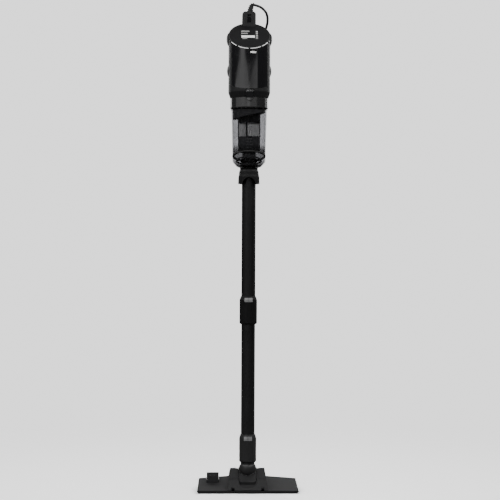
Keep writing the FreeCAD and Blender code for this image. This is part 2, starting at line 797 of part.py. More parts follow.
def cup_collar():
    """The smoked ring between the cup and the motor unit."""
    ring = turned(
        [
            (40.6, CUP_TOP + 0.05),
            (CUP_COLLAR_RADIUS - 0.6, CUP_TOP + 0.05),
            (CUP_COLLAR_RADIUS, CUP_TOP + 1.5, 1),
            (CUP_COLLAR_RADIUS, MOTOR_UNIT_BOTTOM - 0.3),
            (40.6, MOTOR_UNIT_BOTTOM - 0.3),
        ]
    )
    return ring


def cup_parts():
    return {
        "inlet_collar": inlet_collar(),
        "inlet_button": inlet_button(),
        "dust_cup": dust_cup(),
        "cup_base": cup_base(),
        "cup_seal": cup_seal(),
        "inlet_pipe": inlet_pipe(),
        "guard_ring": guard_ring(),
        "inlet_flap": inlet_flap(),
        "cup_collar": cup_collar(),
    }


# ---- Filter set ----
BASKET_BOTTOM, BASKET_TOP = 785.0, 817.0
FILTER_TOP = 849.0
FRAME_RADIUS = 26.2


def filter_basket():
    """The dark cage round the riser's mouth; dirt leaves it through a grid of windows."""
    cage = rod(25.4, BASKET_BOTTOM, BASKET_TOP).cut(rod(23.4, BASKET_BOTTOM - 1, BASKET_TOP - 2))
    columns, rows = 2, 4
    width, height = 7.0, 5.2
    for turn in range(4):
        for column in range(columns):
            for row in range(rows):
                x = (column - 0.5) * (width + 1.8)
                z = BASKET_BOTTOM + 4.5 + row * (height + 1.4)
                window = block(x - width / 2, x + width / 2, -30, -10, z, z + height)
                window.rotate(Vector(), Z_AXIS, 90 * turn)
                cage = cage.cut(window)
    return cage


def hepa_filter():
    """The pleated filter sleeve."""
    pleats = 30
    points = []
    for i in range(2 * pleats):
        radius = 23.6 if i % 2 == 0 else 20.6
        angle = math.pi * i / pleats
        points.append((radius * math.cos(angle), radius * math.sin(angle)))
    sleeve = upward(points, BASKET_TOP + 0.1, FILTER_TOP - 0.1)
    return sleeve.cut(rod(18.5, BASKET_TOP, FILTER_TOP))


def filter_frame():
    """The filter's top skirt and flange, with four posts down to the basket."""
    skirt = pipe(FRAME_RADIUS, 24.4, FILTER_TOP + 0.1, 879.5)
    crown = pipe(FRAME_RADIUS, 18.0, FILTER_TOP, FILTER_TOP + 2)
    flange = pipe(40.2, 22.0, 879.0, 883.5)
    flange = flange.cut(turned([(38.4, 870), (60, 870), (60, 882.0), (38.4, 882.0)]))
    posts = []
    for angle in (0, 75, 180, 255):
        post = block(23.8, 26.0, -1.4, 1.4, BASKET_TOP + 0.05, FILTER_TOP + 1)
        post.rotate(Vector(), Z_AXIS, angle)
        posts.append(post)
    return joined([skirt, crown, flange] + posts)


def spiral_guide():
    """The guide ring that spins the air; its foot slopes down to one side."""
    ring = pipe(37.7, FRAME_RADIUS + 0.1, 850.0, 878.8)
    slope = Part.makeBox(2 * FAR, 2 * FAR, FAR, Vector(-FAR, -FAR, 0))
    slope.rotate(Vector(), Y_AXIS, -12.6)
    slope.translate(Vector(0, 0, 865.5))
    return ring.common(slope)


def filter_parts():
    return {
        "filter_basket": filter_basket(),
        "hepa_filter": hepa_filter(),
        "filter_frame": filter_frame(),
        "spiral_guide": spiral_guide(),
    }


# ---- Motor unit: casings ----
def face_slab(low, high):
    """The space between two planes parallel to the slanted end face."""
    return slab(FACE_Z, FACE_TILT_DEG, low, high)


def band_slab(low, high):
    return slab(BAND_Z, BAND_TILT_DEG, low, high)


COVER_INNER = 46.4


def motor_housing():
    """The structural barrel, with a tapered black band round its foot."""
    shell = turned(
        [
            (41.2, MOTOR_UNIT_BOTTOM),
            (43.7, MOTOR_UNIT_BOTTOM, 0.8),
            (48.3, 918.5, 5),
            (48.3, 1100),
            (BODY_INNER, 1100),
            (BODY_INNER, 921.0),
        ]
    )
    trim = pipe(80, COVER_INNER - 0.05, 900, 1150).common(band_slab(0.0, FAR))
    shell = shell.cut(trim)
    shell = shell.cut(face_slab(-3.2, FAR))
    shell = shell.cut(release_space(0.4))
    vents = vent_slots()
    return shell.cut(vents)


def vent_slots():
    """Exhaust slots on both flanks of the rear cover, and through the barrel behind them."""
    slots = []
    for row in range(6):
        z = 990.0 + row * 7.5
        for side in (-1, 1):
            slot = joined(
                [
                    block(-9, 9, 38, 56, -1.4, 1.4),
                    Part.makeCylinder(1.4, 18, Vector(-9, 38, 0), Y_AXIS),
                    Part.makeCylinder(1.4, 18, Vector(9, 38, 0), Y_AXIS),
                ]
            )
            slot.rotate(Vector(), Z_AXIS, side * 48)
            slot.translate(Vector(0, 0, z))
            slots.append(slot)
    return group(slots)


def cover_blank():
    """The outer skin all round, between the foot band and the end face's ring."""
    skin = pipe(BODY_RADIUS, COVER_INNER, 905, 1120)
    return skin.common(band_slab(0.4, FAR)).common(face_slab(-FAR, -3.0))


def front_cover():
    """The glossy front panel."""
    return cover_blank().common(sector(COVER_HALF_ANGLE, 900, 1150))


def rear_cover():
    """The matt rear skin, with two bulges on each flank and the exhaust slots."""
    skin = pipe(BODY_RADIUS - 0.4, COVER_INNER, 905, 1120)
    bulges = []
    for side in (-1, 1):
        bulges.append(ellipsoid(side * 38.0, 7, 1043, 15.0, 29, 21))
        bulges.append(ellipsoid(side * 38.0, 9, 970, 13.6, 28, 20))
    skin = joined([skin] + bulges)
    skin = skin.cut(rod(COVER_INNER, 900, 1150))
    skin = skin.common(band_slab(0.4, FAR)).common(face_slab(-FAR, -0.4))
    skin = skin.cut(sector(COVER_HALF_ANGLE + 0.6, 890, 1150))
    seat = pipe(BODY_RADIUS + 0.25, 40, 940, 1150).common(face_slab(-3.0, FAR))
    return skin.cut(seat).cut(vent_slots())


def cap_ring():
    """The glossy ring round the slanted end face, with a bevelled outer edge."""
    ring = pipe(BODY_RADIUS + 0.1, 46.2, 940, 1150).common(face_slab(-2.95, 0.8))
    return softened(ring, 0.9, lambda e: outer_top_edge(e))


def outer_top_edge(edge):
    """True for the cap ring's upper outer edge."""
    middle = edge.valueAt((edge.FirstParameter + edge.LastParameter) / 2)
    away = math.hypot(middle.x, middle.y)
    tilt = math.radians(FACE_TILT_DEG)
    height = (middle.z - FACE_Z) * math.cos(tilt) - middle.y * math.sin(tilt)
    return away > BODY_RADIUS - 0.5 and height > 0.5 and edge.Length > 50


def end_cap():
    """The matt disc that closes the slanted end, over the exhaust filter."""
    disc = rod(46.1, 940, 1150).common(face_slab(-2.4, 0.2))
    foot = pipe(43.9, 41.5, 940, 1150).common(face_slab(-6.0, -2.3))
    return joined([disc, foot])


def exhaust_filter():
    return rod(41.2, 940, 1150).common(face_slab(-9.0, -2.6))


def rating_label():
    """Blank pale strips in the place of a printed label: one long bar and short dashes."""
    bars = [
        (-18.5, 12.5, -8.0, 0.5),
        (-18.5, 0.5, 15.0, 18.5),
        (-18.5, -3.5, 7.0, 10.0),
        (-16.5, -5.5, -13.0, -11.0),
        (15.0, 19.5, -11.5, -6.5),
        (15.0, 19.5, -3.5, 1.5),
        (15.0, 19.5, 4.5, 9.5),
        (15.0, 19.5, 12.5, 17.5),
    ]
    return group([block(x0, x1, y0, y1, 900, 1150).common(face_slab(0.25, 0.45)) for x0, x1, y0, y1 in bars])


def release_space(margin):
    """Where the cup's release button passes through the foot band."""
    return along(
        [
            (-8.6 - margin, 925 + margin),
            (-8.6 - margin, 896.5 - margin, 7.5 + margin),
            (8.6 + margin, 896.5 - margin, 7.5 + margin),
            (8.6 + margin, 925 + margin),
        ],
        -60,
        -40,
    )


def cup_release():
    """The tongue-shaped button that frees the dust cup: its tip overlaps the cup's collar."""
    outer = turned(
        [(30, 890), (46.4, 890), (46.4, 903), (49.4, 916, 6), (49.4, 930), (30, 930)]
    )
    inner = turned([(20, 880), (44.1, 880), (44.1, 906.0), (46.2, 919), (46.2, 940), (20, 940)])
    tongue = outer.cut(inner).common(release_space(0)).common(block(-30, 30, -60, -30, 880, 919.5))
    return softened(tongue, 0.8, lambda e: e.CenterOfMass.y < -46.0 and e.Length > 6)


def motor_casings():
    return {
        "motor_housing": motor_housing(),
        "front_cover": front_cover(),
        "rear_cover": rear_cover(),
        "cap_ring": cap_ring(),
        "end_cap": end_cap(),
        "exhaust_filter": exhaust_filter(),
        "rating_label": rating_label(),
        "cup_release": cup_release(),
    }


# ---- Motor unit: handle and cord ----
def handle_outside(inset):
    return [
        (20.0, 1066.0),
        (34.5 + inset, 1078.5),
        (34.5 + inset, HANDLE_TOP - inset, 5),
        (66.0, HANDLE_TOP - inset, 26),
        (111.5 - inset, 1084.0, 28),
        (106.5 - inset, 924.0 + inset, 22),
        (70.0, 916.0 + inset, 12),
        (20.0, 916.0 + inset),
    ]


def handle_loop(inset, half_width):
    loop = across(handle_outside(inset), -half_width, half_width)
    return loop


def outer_loop_edge(edge):
    """True for the long outer edges of the handle, at either side."""
    box = edge.BoundBox
    on_side = box.XLength < 0.01 and abs(abs(box.XMin) - HANDLE_HALF_WIDTH) < 0.01
    return on_side and edge.CenterOfMass.y > 33


def hand_space(grow, half_width):
    """The finger gap. Its edge runs outside the housing, which closes it at the front."""
    gap = [
        (10.0, 1060.0 - grow),
        (40.0, 1062.0 + grow),
        (64.0, 1077.0 + grow, 14),
        (84.0 + grow, 1072.0 + grow, 12),
        (79.0 + grow, 951.0 - grow, 16),
        (40.0, 948.0 - grow),
        (10.0, 948.0 - grow),
    ]
    return across(gap, -half_width, half_width)


def handle_body():
    solid = handle_loop(0, HANDLE_HALF_WIDTH)
    solid = softened(solid, 7.0, outer_loop_edge)
    solid = solid.cut(hand_space(0, 40))
    solid = softened(solid, 4.0, inner_loop_edge)
    hollow = handle_loop(3.0, HANDLE_HALF_WIDTH - 4.5).cut(hand_space(3.0, 40))
    hollow = hollow.cut(block(-40, 40, 0, 52, 900, 1150))
    solid = solid.cut(hollow)
    solid = solid.cut(rod(BODY_RADIUS + 0.2, 890, 1150).common(face_slab(-FAR, 0.85)))
    solid = solid.cut(block(-40, 40, -60, 33, 880, 1150))
    solid = solid.cut(switch_space(0.3)).cut(grip_space(0.0))
    return solid.cut(Part.makeCylinder(6.05, 60, Vector(BOOT_X, BOOT_Y, 1096)))


def inner_loop_edge(edge):
    """True for the edges round the finger gap behind the housing."""
    box = edge.BoundBox
    on_side = box.XLength < 0.01 and abs(abs(box.XMin) - HANDLE_HALF_WIDTH) < 0.01
    middle = edge.CenterOfMass
    return on_side and 60 < middle.y < 86 and 950 < middle.z < 1076 and edge.Length > 15


def grip_space(margin):
    """The band of the grip that the soft pad wraps."""
    return block(-40, 40, 76, 104.5, 968 + margin, 1050 - margin).cut(
        block(-HANDLE_HALF_WIDTH + 1.6, HANDLE_HALF_WIDTH - 1.6, 82.0, 130, 900, 1150)
    )


def grip_pad():
    """Soft pad moulded round the front and sides of the grip."""
    solid = handle_loop(0, HANDLE_HALF_WIDTH)
    solid = solid.cut(hand_space(0, 40))
    solid = softened(solid, 4.0, inner_loop_edge)
    return solid.common(grip_space(0.1))


SWITCH_Z0, SWITCH_Z1 = 1088.0, 1106.0


def switch_space(margin):
    """The channel in the handle's front face that the power slider runs in."""
    return block(-4.0 - margin, 4.0 + margin, 20, 38.4 + margin, SWITCH_Z0 - margin, SWITCH_Z1 + margin)


def power_switch():
    """A ribbed slider in the handle's front face."""
    slider = block(-3.8, 3.8, 33.2, 38.2, SWITCH_Z0 + 0.2, SWITCH_Z0 + 12.2)
    for i in range(4):
        z = SWITCH_Z0 + 2.4 + 2.4 * i
        slider = slider.cut(block(-5, 5, 32, 33.9, z, z + 0.9))
    return slider


BOOT_X, BOOT_Y = 2.0, 52.0
CORD_EXIT = (11.5, BOOT_Y, 1131.4)
EXIT_DROP = math.radians(12)
EXIT_HEADING = Vector(math.cos(EXIT_DROP), 0, -math.sin(EXIT_DROP))
BOOT_LEAN_DEG = 14.0
BOOT_RIBS = 6


def boot_line(t):
    """Centre and heading of the cord boot, from the handle's top (t=0) over to the cord's exit (t=1)."""
    lean = math.radians(BOOT_LEAN_DEG)
    start = Vector(BOOT_X, BOOT_Y, HANDLE_TOP - 0.5)
    end = Vector(*CORD_EXIT)
    near_start = start + Vector(math.sin(lean), 0, math.cos(lean)) * 8.5
    near_end = end - EXIT_HEADING * 7.0
    s = 1 - t
    point = start * s**3 + near_start * (3 * s * s * t) + near_end * (3 * s * t * t) + end * t**3
    heading = (near_start - start) * (s * s)
    heading += (near_end - near_start) * (2 * s * t) + (end - near_end) * (t * t)
    return point, heading.normalize()


def cable_boot():
    """A tapered, ribbed boot that leans over to the right, on a plug in the handle's top."""
    sections = []
    for rib in range(BOOT_RIBS):
        for share, groove in ((0.0, 0.0), (0.5, 0.0), (0.56, 1.3), (0.94, 1.3)):
            t = (rib + share) / (BOOT_RIBS - 0.5)
            if t <= 1.0:
                point, heading = boot_line(t)
                radius = 7.4 - 2.8 * t - groove
                sections.append(Part.Wire(Part.makeCircle(radius, point, heading)))
    skirt = Part.makeLoft(sections, True, True)
    plug = Part.makeCylinder(6.0, 10.5, Vector(BOOT_X, BOOT_Y, HANDLE_TOP - 10.4))
    return joined([plug, skirt.cut(handle_envelope())])


def rounded_path(points):
    """Straight runs joined by arcs as large as the runs allow; prints and checks the radii."""
    edges = []
    last = points[0]
    radii = []
    for i in range(1, len(points) - 1):
        here = points[i]
        back, ahead = points[i - 1] - here, points[i + 1] - here
        run = min(back.Length, ahead.Length)
        turn = math.pi - back.getAngle(ahead)
        radius = 0.45 * run / math.tan(turn / 2)
        radii.append(radius)
        reach = 0.45 * run
        start = here + back.normalize() * reach
        end = here + ahead.normalize() * reach
        middle = here + (back + ahead).normalize() * (radius / math.cos(turn / 2) - radius)
        edges.append(Part.LineSegment(last, start).toShape())
        edges.append(Part.Arc(start, middle, end).toShape())
        last = end
    edges.append(Part.LineSegment(last, points[-1]).toShape())
    print("cord radii, mm:", [round(r, 1) for r in radii])
    return Part.Wire(edges)


def cord_tube(points):
    path = rounded_path([Vector(*p) for p in points])
    heading = Vector(*points[1]) - Vector(*points[0])
    circle = Part.Wire(Part.makeCircle(CORD_RADIUS, Vector(*points[0]), heading))
    tube = path.makePipeShell([circle], True, False)
    section = math.pi * CORD_RADIUS**2
    print("cord volume over section times length:", round(tube.Volume / (section * path.Length), 4))
    return tube


FIRST_LAYER_Y = HANK_FRONT + CORD_RADIUS + 0.15
LAST_LAYER_Y = HANK_FRONT + HANK_DEPTH - CORD_RADIUS - 0.15
OUTER_TURN = HANK_OUTER - CORD_RADIUS - 0.25
LEAD_ROUTE = [
    CORD_EXIT,
    tuple(Vector(*CORD_EXIT) + EXIT_HEADING * 12.3),
    (35.0, 54.6, 1121.3),
    (42.6, 61.4, 1112.2),
    (45.0, 72.0, 1098.8),
    (43.0, 85.0, 1086.0),
    (38.4, 98.5, 1073.6),
    (33.6, 109.0, 1059.4),
    (OUTER_TURN, FIRST_LAYER_Y, 1043.0),
]
TAIL_ROUTE = [
    (OUTER_TURN, LAST_LAYER_Y, 938.0),
    (OUTER_TURN - 1.0, LAST_LAYER_Y, 922.0),
    (23.5, 132.0, 905.5),
    (12.5, 130.0, 891.5),
    (3.5, 128.7, 876.5),
    (0.0, 128.5, 859.5),
]


def racetrack(radius, y0, y1):
    """An upright oval plate with round ends at the two hook heights."""
    upper = Part.makeCylinder(radius, y1 - y0, Vector(0, y0, HANK_UPPER_Z), Y_AXIS)
    lower = Part.makeCylinder(radius, y1 - y0, Vector(0, y0, HANK_LOWER_Z), Y_AXIS)
    middle = block(-radius, radius, y0, y1, HANK_LOWER_Z, HANK_UPPER_Z)
    return joined([upper, lower, middle])


def cord_hank():
    """The outer shape of the wound cord on the two hooks."""
    rear = HANK_FRONT + HANK_DEPTH
    return racetrack(HANK_OUTER, HANK_FRONT, rear).cut(racetrack(HANK_INNER, HANK_FRONT - 1, rear + 1))


def cord_hooks():
    """Two half-round hooks behind the grip, each with a lip that keeps the cord on."""
    hooks = []
    rear = HANK_FRONT + HANK_DEPTH
    for z, side in ((HANK_UPPER_Z, 1), (HANK_LOWER_Z, -1)):
        half = block(-60, 60, 90, 150, min(z, z + side * 60), max(z, z + side * 60))
        inner = z - side * 5
        thin = block(-60, 60, 90, 150, min(inner, z + side * 60), max(inner, z + side * 60))
        post = Part.makeCylinder(HANK_INNER - 0.4, rear - 96, Vector(0, 97, z), Y_AXIS).common(thin)
        post = post.cut(Part.makeCylinder(HANK_INNER - 3.4, 60, Vector(0, HANK_FRONT, z - side * 3), Y_AXIS))
        lip = Part.makeCylinder(HANK_INNER + 7.5, 2.6, Vector(0, rear + 0.6, z), Y_AXIS).common(half)
        lip = lip.common(block(-11, 11, 90, 150, 900, 1150))
        base = Part.makeCylinder(HANK_INNER + 2.0, HANK_FRONT - 97.6, Vector(0, 97, z), Y_AXIS)
        base = base.common(block(-15.0, 15.0, 90, 150, z - 12, z + 12))
        hook = joined([post, lip, base])
        hooks.append(hook.cut(handle_envelope()))
    return group(hooks)


def handle_envelope():
    """The handle's outer form, solid, for pieces that sit against it."""
    solid = handle_loop(0, HANDLE_HALF_WIDTH)
    return softened(solid, 7.0, outer_loop_edge)


def mains_plug():
    """A moulded two-pin plug hanging pin down."""
    top, bottom = TAIL_ROUTE[-1][2], TAIL_ROUTE[-1][2] - 42.0
    x, y = TAIL_ROUTE[-1][0], TAIL_ROUTE[-1][1]
    sections = [
        plug_section(x, y, 4.6, 4.6, top),
        plug_section(x, y, 8.0, 6.5, top - 16),
        plug_section(x, y, 16.5, 8.0, bottom + 12),
        plug_section(x, y, 17.0, 8.0, bottom),
    ]
    body = Part.makeLoft(sections, True, False)
    pins = []
    for side in (-1, 1):
        pin = Part.makeCylinder(2.4, 19.0, Vector(x + side * 9.5, y, bottom - 18.5))
        pins.append(pin)
    return joined([body] + pins)


def plug_section(x, y, half_x, half_y, z):
    """A rounded rectangle, as a wire."""
    corner = min(half_x, half_y) * 0.7
    points = [
        (x - half_x, y - half_y, corner),
        (x + half_x, y - half_y, corner),
        (x + half_x, y + half_y, corner),
        (x - half_x, y + half_y, corner),
    ]
    return outline(points, lambda u, v: Vector(u, v, z)).OuterWire


HANDLE_SCREW_YZ = ((60.0, 1098.0), (94.0, 1062.0), (91.0, 948.0), (62.0, 928.0))


def handle_screws():
    """Four screws that close the handle's two halves, in from the right."""
    screws = []
    for y, z in HANDLE_SCREW_YZ:
        head = cross_rod(3.0, HANDLE_HALF_WIDTH - 2.4, HANDLE_HALF_WIDTH - 0.9, y, z)
        shank = cross_rod(1.5, 2.0, HANDLE_HALF_WIDTH - 2.3, y, z)
        slot = block(HANDLE_HALF_WIDTH - 1.6, HANDLE_HALF_WIDTH, y - 2.2, y + 2.2, z - 0.4, z + 0.4)
        screws.append(joined([head, shank]).cut(slot))
    return group(screws)


def screw_holes():
    holes = []
    for y, z in HANDLE_SCREW_YZ:
        holes.append(cross_rod(3.3, HANDLE_HALF_WIDTH - 2.5, HANDLE_HALF_WIDTH + 1, y, z))
        holes.append(cross_rod(1.6, 1.0, HANDLE_HALF_WIDTH - 1, y, z))
    return group(holes)


def handle_parts():
    body = handle_body().cut(screw_holes())
    lead = cord_tube(LEAD_ROUTE)
    return {
        "handle_left": body.common(block(-60, -0.02, 0, 200, 880, 1150)),
        "handle_right": body.common(block(0.02, 60, 0, 200, 880, 1150)),
        "grip_pad": grip_pad(),
        "handle_screws": handle_screws(),
        "cord_hooks": cord_hooks(),
        "power_switch": power_switch(),
        "cable_boot": cable_boot(),
        "power_cord": lead.cut(cord_hank()),
        "cord_hank": cord_hank(),
        "cord_tail": cord_tube(TAIL_ROUTE).cut(cord_hank()).cut(mains_plug()),
        "mains_plug": mains_plug(),
    }


# ---- Motor unit: inside ----
def intake_grille():
    """The guard in front of the motor: a rim, two rings and six spokes."""
    rings = [pipe(41.0, 37.5, 906.5, 909.5), pipe(28.0, 25.5, 906.5, 909.5), pipe(14.0, 9.0, 906.5, 909.5)]
    spokes = []
    for i in range(3):
        spoke = block(-38, 38, -1.2, 1.2, 906.6, 909.4)
        spoke.rotate(Vector(), Z_AXIS, 60 * i)
        spokes.append(spoke)
    return joined(rings + spokes).cut(rod(9.0, 900, 920))


def fan_shroud():
    """The fan's pressed can, with its eye facing the filter."""
    can = turned(
        [
            (12, 913.0),
            (38.0, 913.0, 3),
            (38.0, 938.0),
            (36.8, 938.0),
            (36.8, 914.2, 2),
            (12, 914.2),
        ]
    )
    return can


def fan_impeller():
    """Back plate, hub and nine curved blades."""
    plate = rod(35.0, 933.0, 934.5)
    hub = rod(7.0, 920.0, 934.5)
    blades = []
    for i in range(9):
        blade = Part.makeCylinder(24, 15, Vector(22, 0, 918.5))
        blade = blade.cut(Part.makeCylinder(22.8, 17, Vector(22, 0, 917.5)))
        blade = blade.common(block(-30, 60, 0, 60, 900, 950)).common(pipe(34.5, 6.0, 918.5, 933.5))
        blade.rotate(Vector(), Z_AXIS, 40 * i)
        blades.append(blade)
    return joined([plate, hub] + blades).cut(rod(3.02, 900, 950))


def armature():
    """Shaft, laminated core and commutator."""
    return joined([rod(3.0, 917.0, 1001.0), rod(14.5, 951.0, 977.0), rod(9.0, 979.0, 990.0)])


def motor_stator():
    """Field frame and end brackets, with the bearings' seats."""
    frame = pipe(30.0, 15.2, 950.0, 978.0)
    for angle in (0, 90):
        window = block(-8, 8, 17.5, 26.5, 945, 985)
        window = group([window, window.rotated(Vector(), Z_AXIS, 180)])
        window.rotate(Vector(), Z_AXIS, angle)
        frame = frame.cut(window)
    lower = pipe(37.9, 3.06, 940.0, 944.0)
    lower = joined([lower, pipe(9.0, 3.06, 940.0, 949.0)])
    upper = pipe(24.0, 3.06, 993.0, 996.0)
    legs = []
    for angle in (45, 135, 225, 315):
        leg = block(21.0, 23.8, -3, 3, 943.0, 994.0)
        leg.rotate(Vector(), Z_AXIS, angle)
        legs.append(leg.cut(pipe(40, 5, 951.0, 977.0)))
    outer = []
    for angle in (45, 135, 225, 315):
        strap = block(21.0, 32.0, -3, 3, 943.0, 951.0)
        strap.rotate(Vector(), Z_AXIS, angle)
        outer.append(strap)
    caps = []
    for angle in (45, 135, 225, 315):
        cap = block(21.0, 23.8, -3, 3, 976.0, 994.0)
        cap.rotate(Vector(), Z_AXIS, angle)
        caps.append(cap)
    return joined([frame, lower, upper] + legs + outer + caps)


def motor_mounts():
    """Rubber rings that hold the motor at its two ends."""
    lower = pipe(43.9, 38.1, 922.5, 938.0)
    upper = turned(
        [(24.3, 996.2), (24.3, 990.0), (40.0, 990.0, 2), (40.0, 998.5, 2), (18.0, 998.5), (18.0, 996.2)]
    )
    return group([lower, upper])


def carbon_brushes():
    right = block(9.2, 19.0, -3, 3, 981.5, 987.5)
    return group([right, mirrored(right)])


def motor_parts():
    return {
        "intake_grille": intake_grille(),
        "fan_shroud": fan_shroud(),
        "fan_impeller": fan_impeller(),
        "armature": armature(),
        "motor_stator": motor_stator(),
        "motor_mounts": motor_mounts(),
        "carbon_brushes": carbon_brushes(),
    }


ASSEMBLIES = (
    nozzle_parts,
    neck_parts,
    wand_parts,
    cup_parts,
    filter_parts,
    motor_casings,
    handle_parts,
    motor_parts,
)


def main():
    os.makedirs("parts", exist_ok=True)
    for assembly in ASSEMBLIES:
        for name, shape in assembly().items():
            shape.exportStep(f"parts/{name}.step")


main()
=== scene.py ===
"""Visual model of a corded stick vacuum cleaner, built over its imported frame.

Metres, +Z up, with the front of the cleaner towards -Y. The camera and the cord come first, then the
materials, the pieces that replace plain CAD nodes, and the studio.
"""

import bpy
import bmesh
import json
import math
import random
from mathutils import Matrix, Vector


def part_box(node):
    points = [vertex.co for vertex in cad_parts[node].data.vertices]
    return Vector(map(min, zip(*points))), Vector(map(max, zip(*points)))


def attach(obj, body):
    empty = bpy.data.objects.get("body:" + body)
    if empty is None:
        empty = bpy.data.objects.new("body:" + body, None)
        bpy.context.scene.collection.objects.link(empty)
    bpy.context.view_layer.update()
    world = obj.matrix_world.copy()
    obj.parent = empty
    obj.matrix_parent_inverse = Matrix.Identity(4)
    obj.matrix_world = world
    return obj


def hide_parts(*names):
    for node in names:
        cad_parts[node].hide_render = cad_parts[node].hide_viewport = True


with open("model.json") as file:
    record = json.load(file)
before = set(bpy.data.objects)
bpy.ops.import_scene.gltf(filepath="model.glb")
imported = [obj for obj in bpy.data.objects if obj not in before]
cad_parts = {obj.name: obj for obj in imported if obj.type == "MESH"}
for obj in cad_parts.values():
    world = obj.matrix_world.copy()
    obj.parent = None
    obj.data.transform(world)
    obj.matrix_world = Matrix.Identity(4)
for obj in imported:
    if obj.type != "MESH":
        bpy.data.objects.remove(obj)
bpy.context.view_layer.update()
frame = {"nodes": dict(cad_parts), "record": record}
nodes = frame["nodes"]

# ---- Camera ----
CAMERA_DISTANCE = 3.2
CAMERA_HEIGHT = 0.556
CAMERA_AZIMUTH = -1.5
CAMERA_ROLL = 0.25
CAMERA_ASIDE = 0.0034
WIDTH_AT_OBJECT = 1.155
SENSOR = 36.0
CLIP_START, CLIP_END = 0.05, 60.0


def link(obj):
    bpy.context.scene.collection.objects.link(obj)
    return obj


def make_camera():
    """Level with the wand's middle and nearly square to the front."""
    data = bpy.data.cameras.new("camera")
    data.sensor_width = SENSOR
    data.lens = SENSOR * CAMERA_DISTANCE / WIDTH_AT_OBJECT
    data.clip_start = CLIP_START
    data.clip_end = CLIP_END
    camera = link(bpy.data.objects.new("camera", data))
    turn = math.radians(CAMERA_AZIMUTH)
    away = Vector((math.sin(turn), -math.cos(turn), 0.0))
    aside = Vector((math.cos(turn), math.sin(turn), 0.0)) * CAMERA_ASIDE
    camera.location = away * CAMERA_DISTANCE + aside + Vector((0, 0, CAMERA_HEIGHT))
    look = (-away).to_track_quat("-Z", "Y").to_matrix().to_4x4()
    roll = Matrix.Rotation(math.radians(CAMERA_ROLL), 4, "Z")
    camera.rotation_euler = (look @ roll).to_euler()
    bpy.context.scene.camera = camera


make_camera()


# ---- Cord: its first stretch, the hank on the two hooks, and the tail with the plug ----
CORD_DIAMETER = 0.006
LEAD = [
    (0.0115, 0.052, 1.1314),
    (0.02353, 0.052, 1.12884),
    (0.035, 0.0546, 1.1213),
    (0.0426, 0.0614, 1.1122),
    (0.045, 0.072, 1.0988),
    (0.043, 0.085, 1.086),
    (0.0384, 0.0985, 1.0736),
    (0.0336, 0.109, 1.0594),
    (0.03075, 0.11515, 1.043),
]
TAIL = [
    (0.03075, 0.13405, 0.938),
    (0.02975, 0.13405, 0.922),
    (0.0235, 0.132, 0.9055),
    (0.0125, 0.13, 0.8915),
    (0.0035, 0.1287, 0.8765),
    (0.0, 0.1285, 0.8595),
]
HOOK_LOW_Z, HOOK_HIGH_Z = 0.938, 1.056
TURN_PITCH = 0.0063
OUTER_TURN = LEAD[-1][0]
FIRST_LAYER_Y = LEAD[-1][1]
RINGS_IN_TURN = (0, 1, 2, 2, 1, 0, 0, 1, 2, 2, 1, 0, 0)
LAYER_IN_TURN = (0, 0, 0, 1, 1, 1, 2, 2, 2, 3, 3, 3, 3)
POINTS_ROUND_HOOK = 7


def hank_points():
    """Turns round the two hooks, down the right side and up the left, ring by ring and layer by layer."""
    points = []
    turns = len(RINGS_IN_TURN) - 1
    steps = 2 * POINTS_ROUND_HOOK
    corner_reach = 1 / math.cos(math.pi / (POINTS_ROUND_HOOK - 1) / 2)
    for turn in range(turns):
        for step in range(steps):
            share = step / steps
            ring = RINGS_IN_TURN[turn] + (RINGS_IN_TURN[turn + 1] - RINGS_IN_TURN[turn]) * share
            layer = LAYER_IN_TURN[turn] + (LAYER_IN_TURN[turn + 1] - LAYER_IN_TURN[turn]) * share
            radius = OUTER_TURN - ring * TURN_PITCH
            round_hook = step % POINTS_ROUND_HOOK
            angle = math.pi * round_hook / (POINTS_ROUND_HOOK - 1)
            inside_bend = 0 < round_hook < POINTS_ROUND_HOOK - 1
            reach = radius * corner_reach if inside_bend else radius
            side, hook = (1, HOOK_LOW_Z) if step < POINTS_ROUND_HOOK else (-1, HOOK_HIGH_Z)
            x = side * reach * math.cos(angle)
            z = hook - side * reach * math.sin(angle)
            points.append((x, FIRST_LAYER_Y + layer * TURN_PITCH, z))
    return points


def nurbs(name, points):
    """A smooth curve with these points as its control points."""
    data = bpy.data.curves.new(name, "CURVE")
    data.dimensions = "3D"
    spline = data.splines.new("NURBS")
    spline.points.add(len(points) - 1)
    for control, point in zip(spline.points, points):
        control.co = (*point, 1.0)
    spline.order_u = 3
    spline.use_endpoint_u = True
    data.resolution_u = 6
    return link(bpy.data.objects.new(name, data))


def make_cord():
    cord = nurbs("mains_cord", LEAD + hank_points() + TAIL)
    cord.data.bevel_depth = CORD_DIAMETER / 2
    cord.data.bevel_resolution = 4
    cord.data.use_fill_caps = True
    return cord


cord = make_cord()

# ---- Materials ----


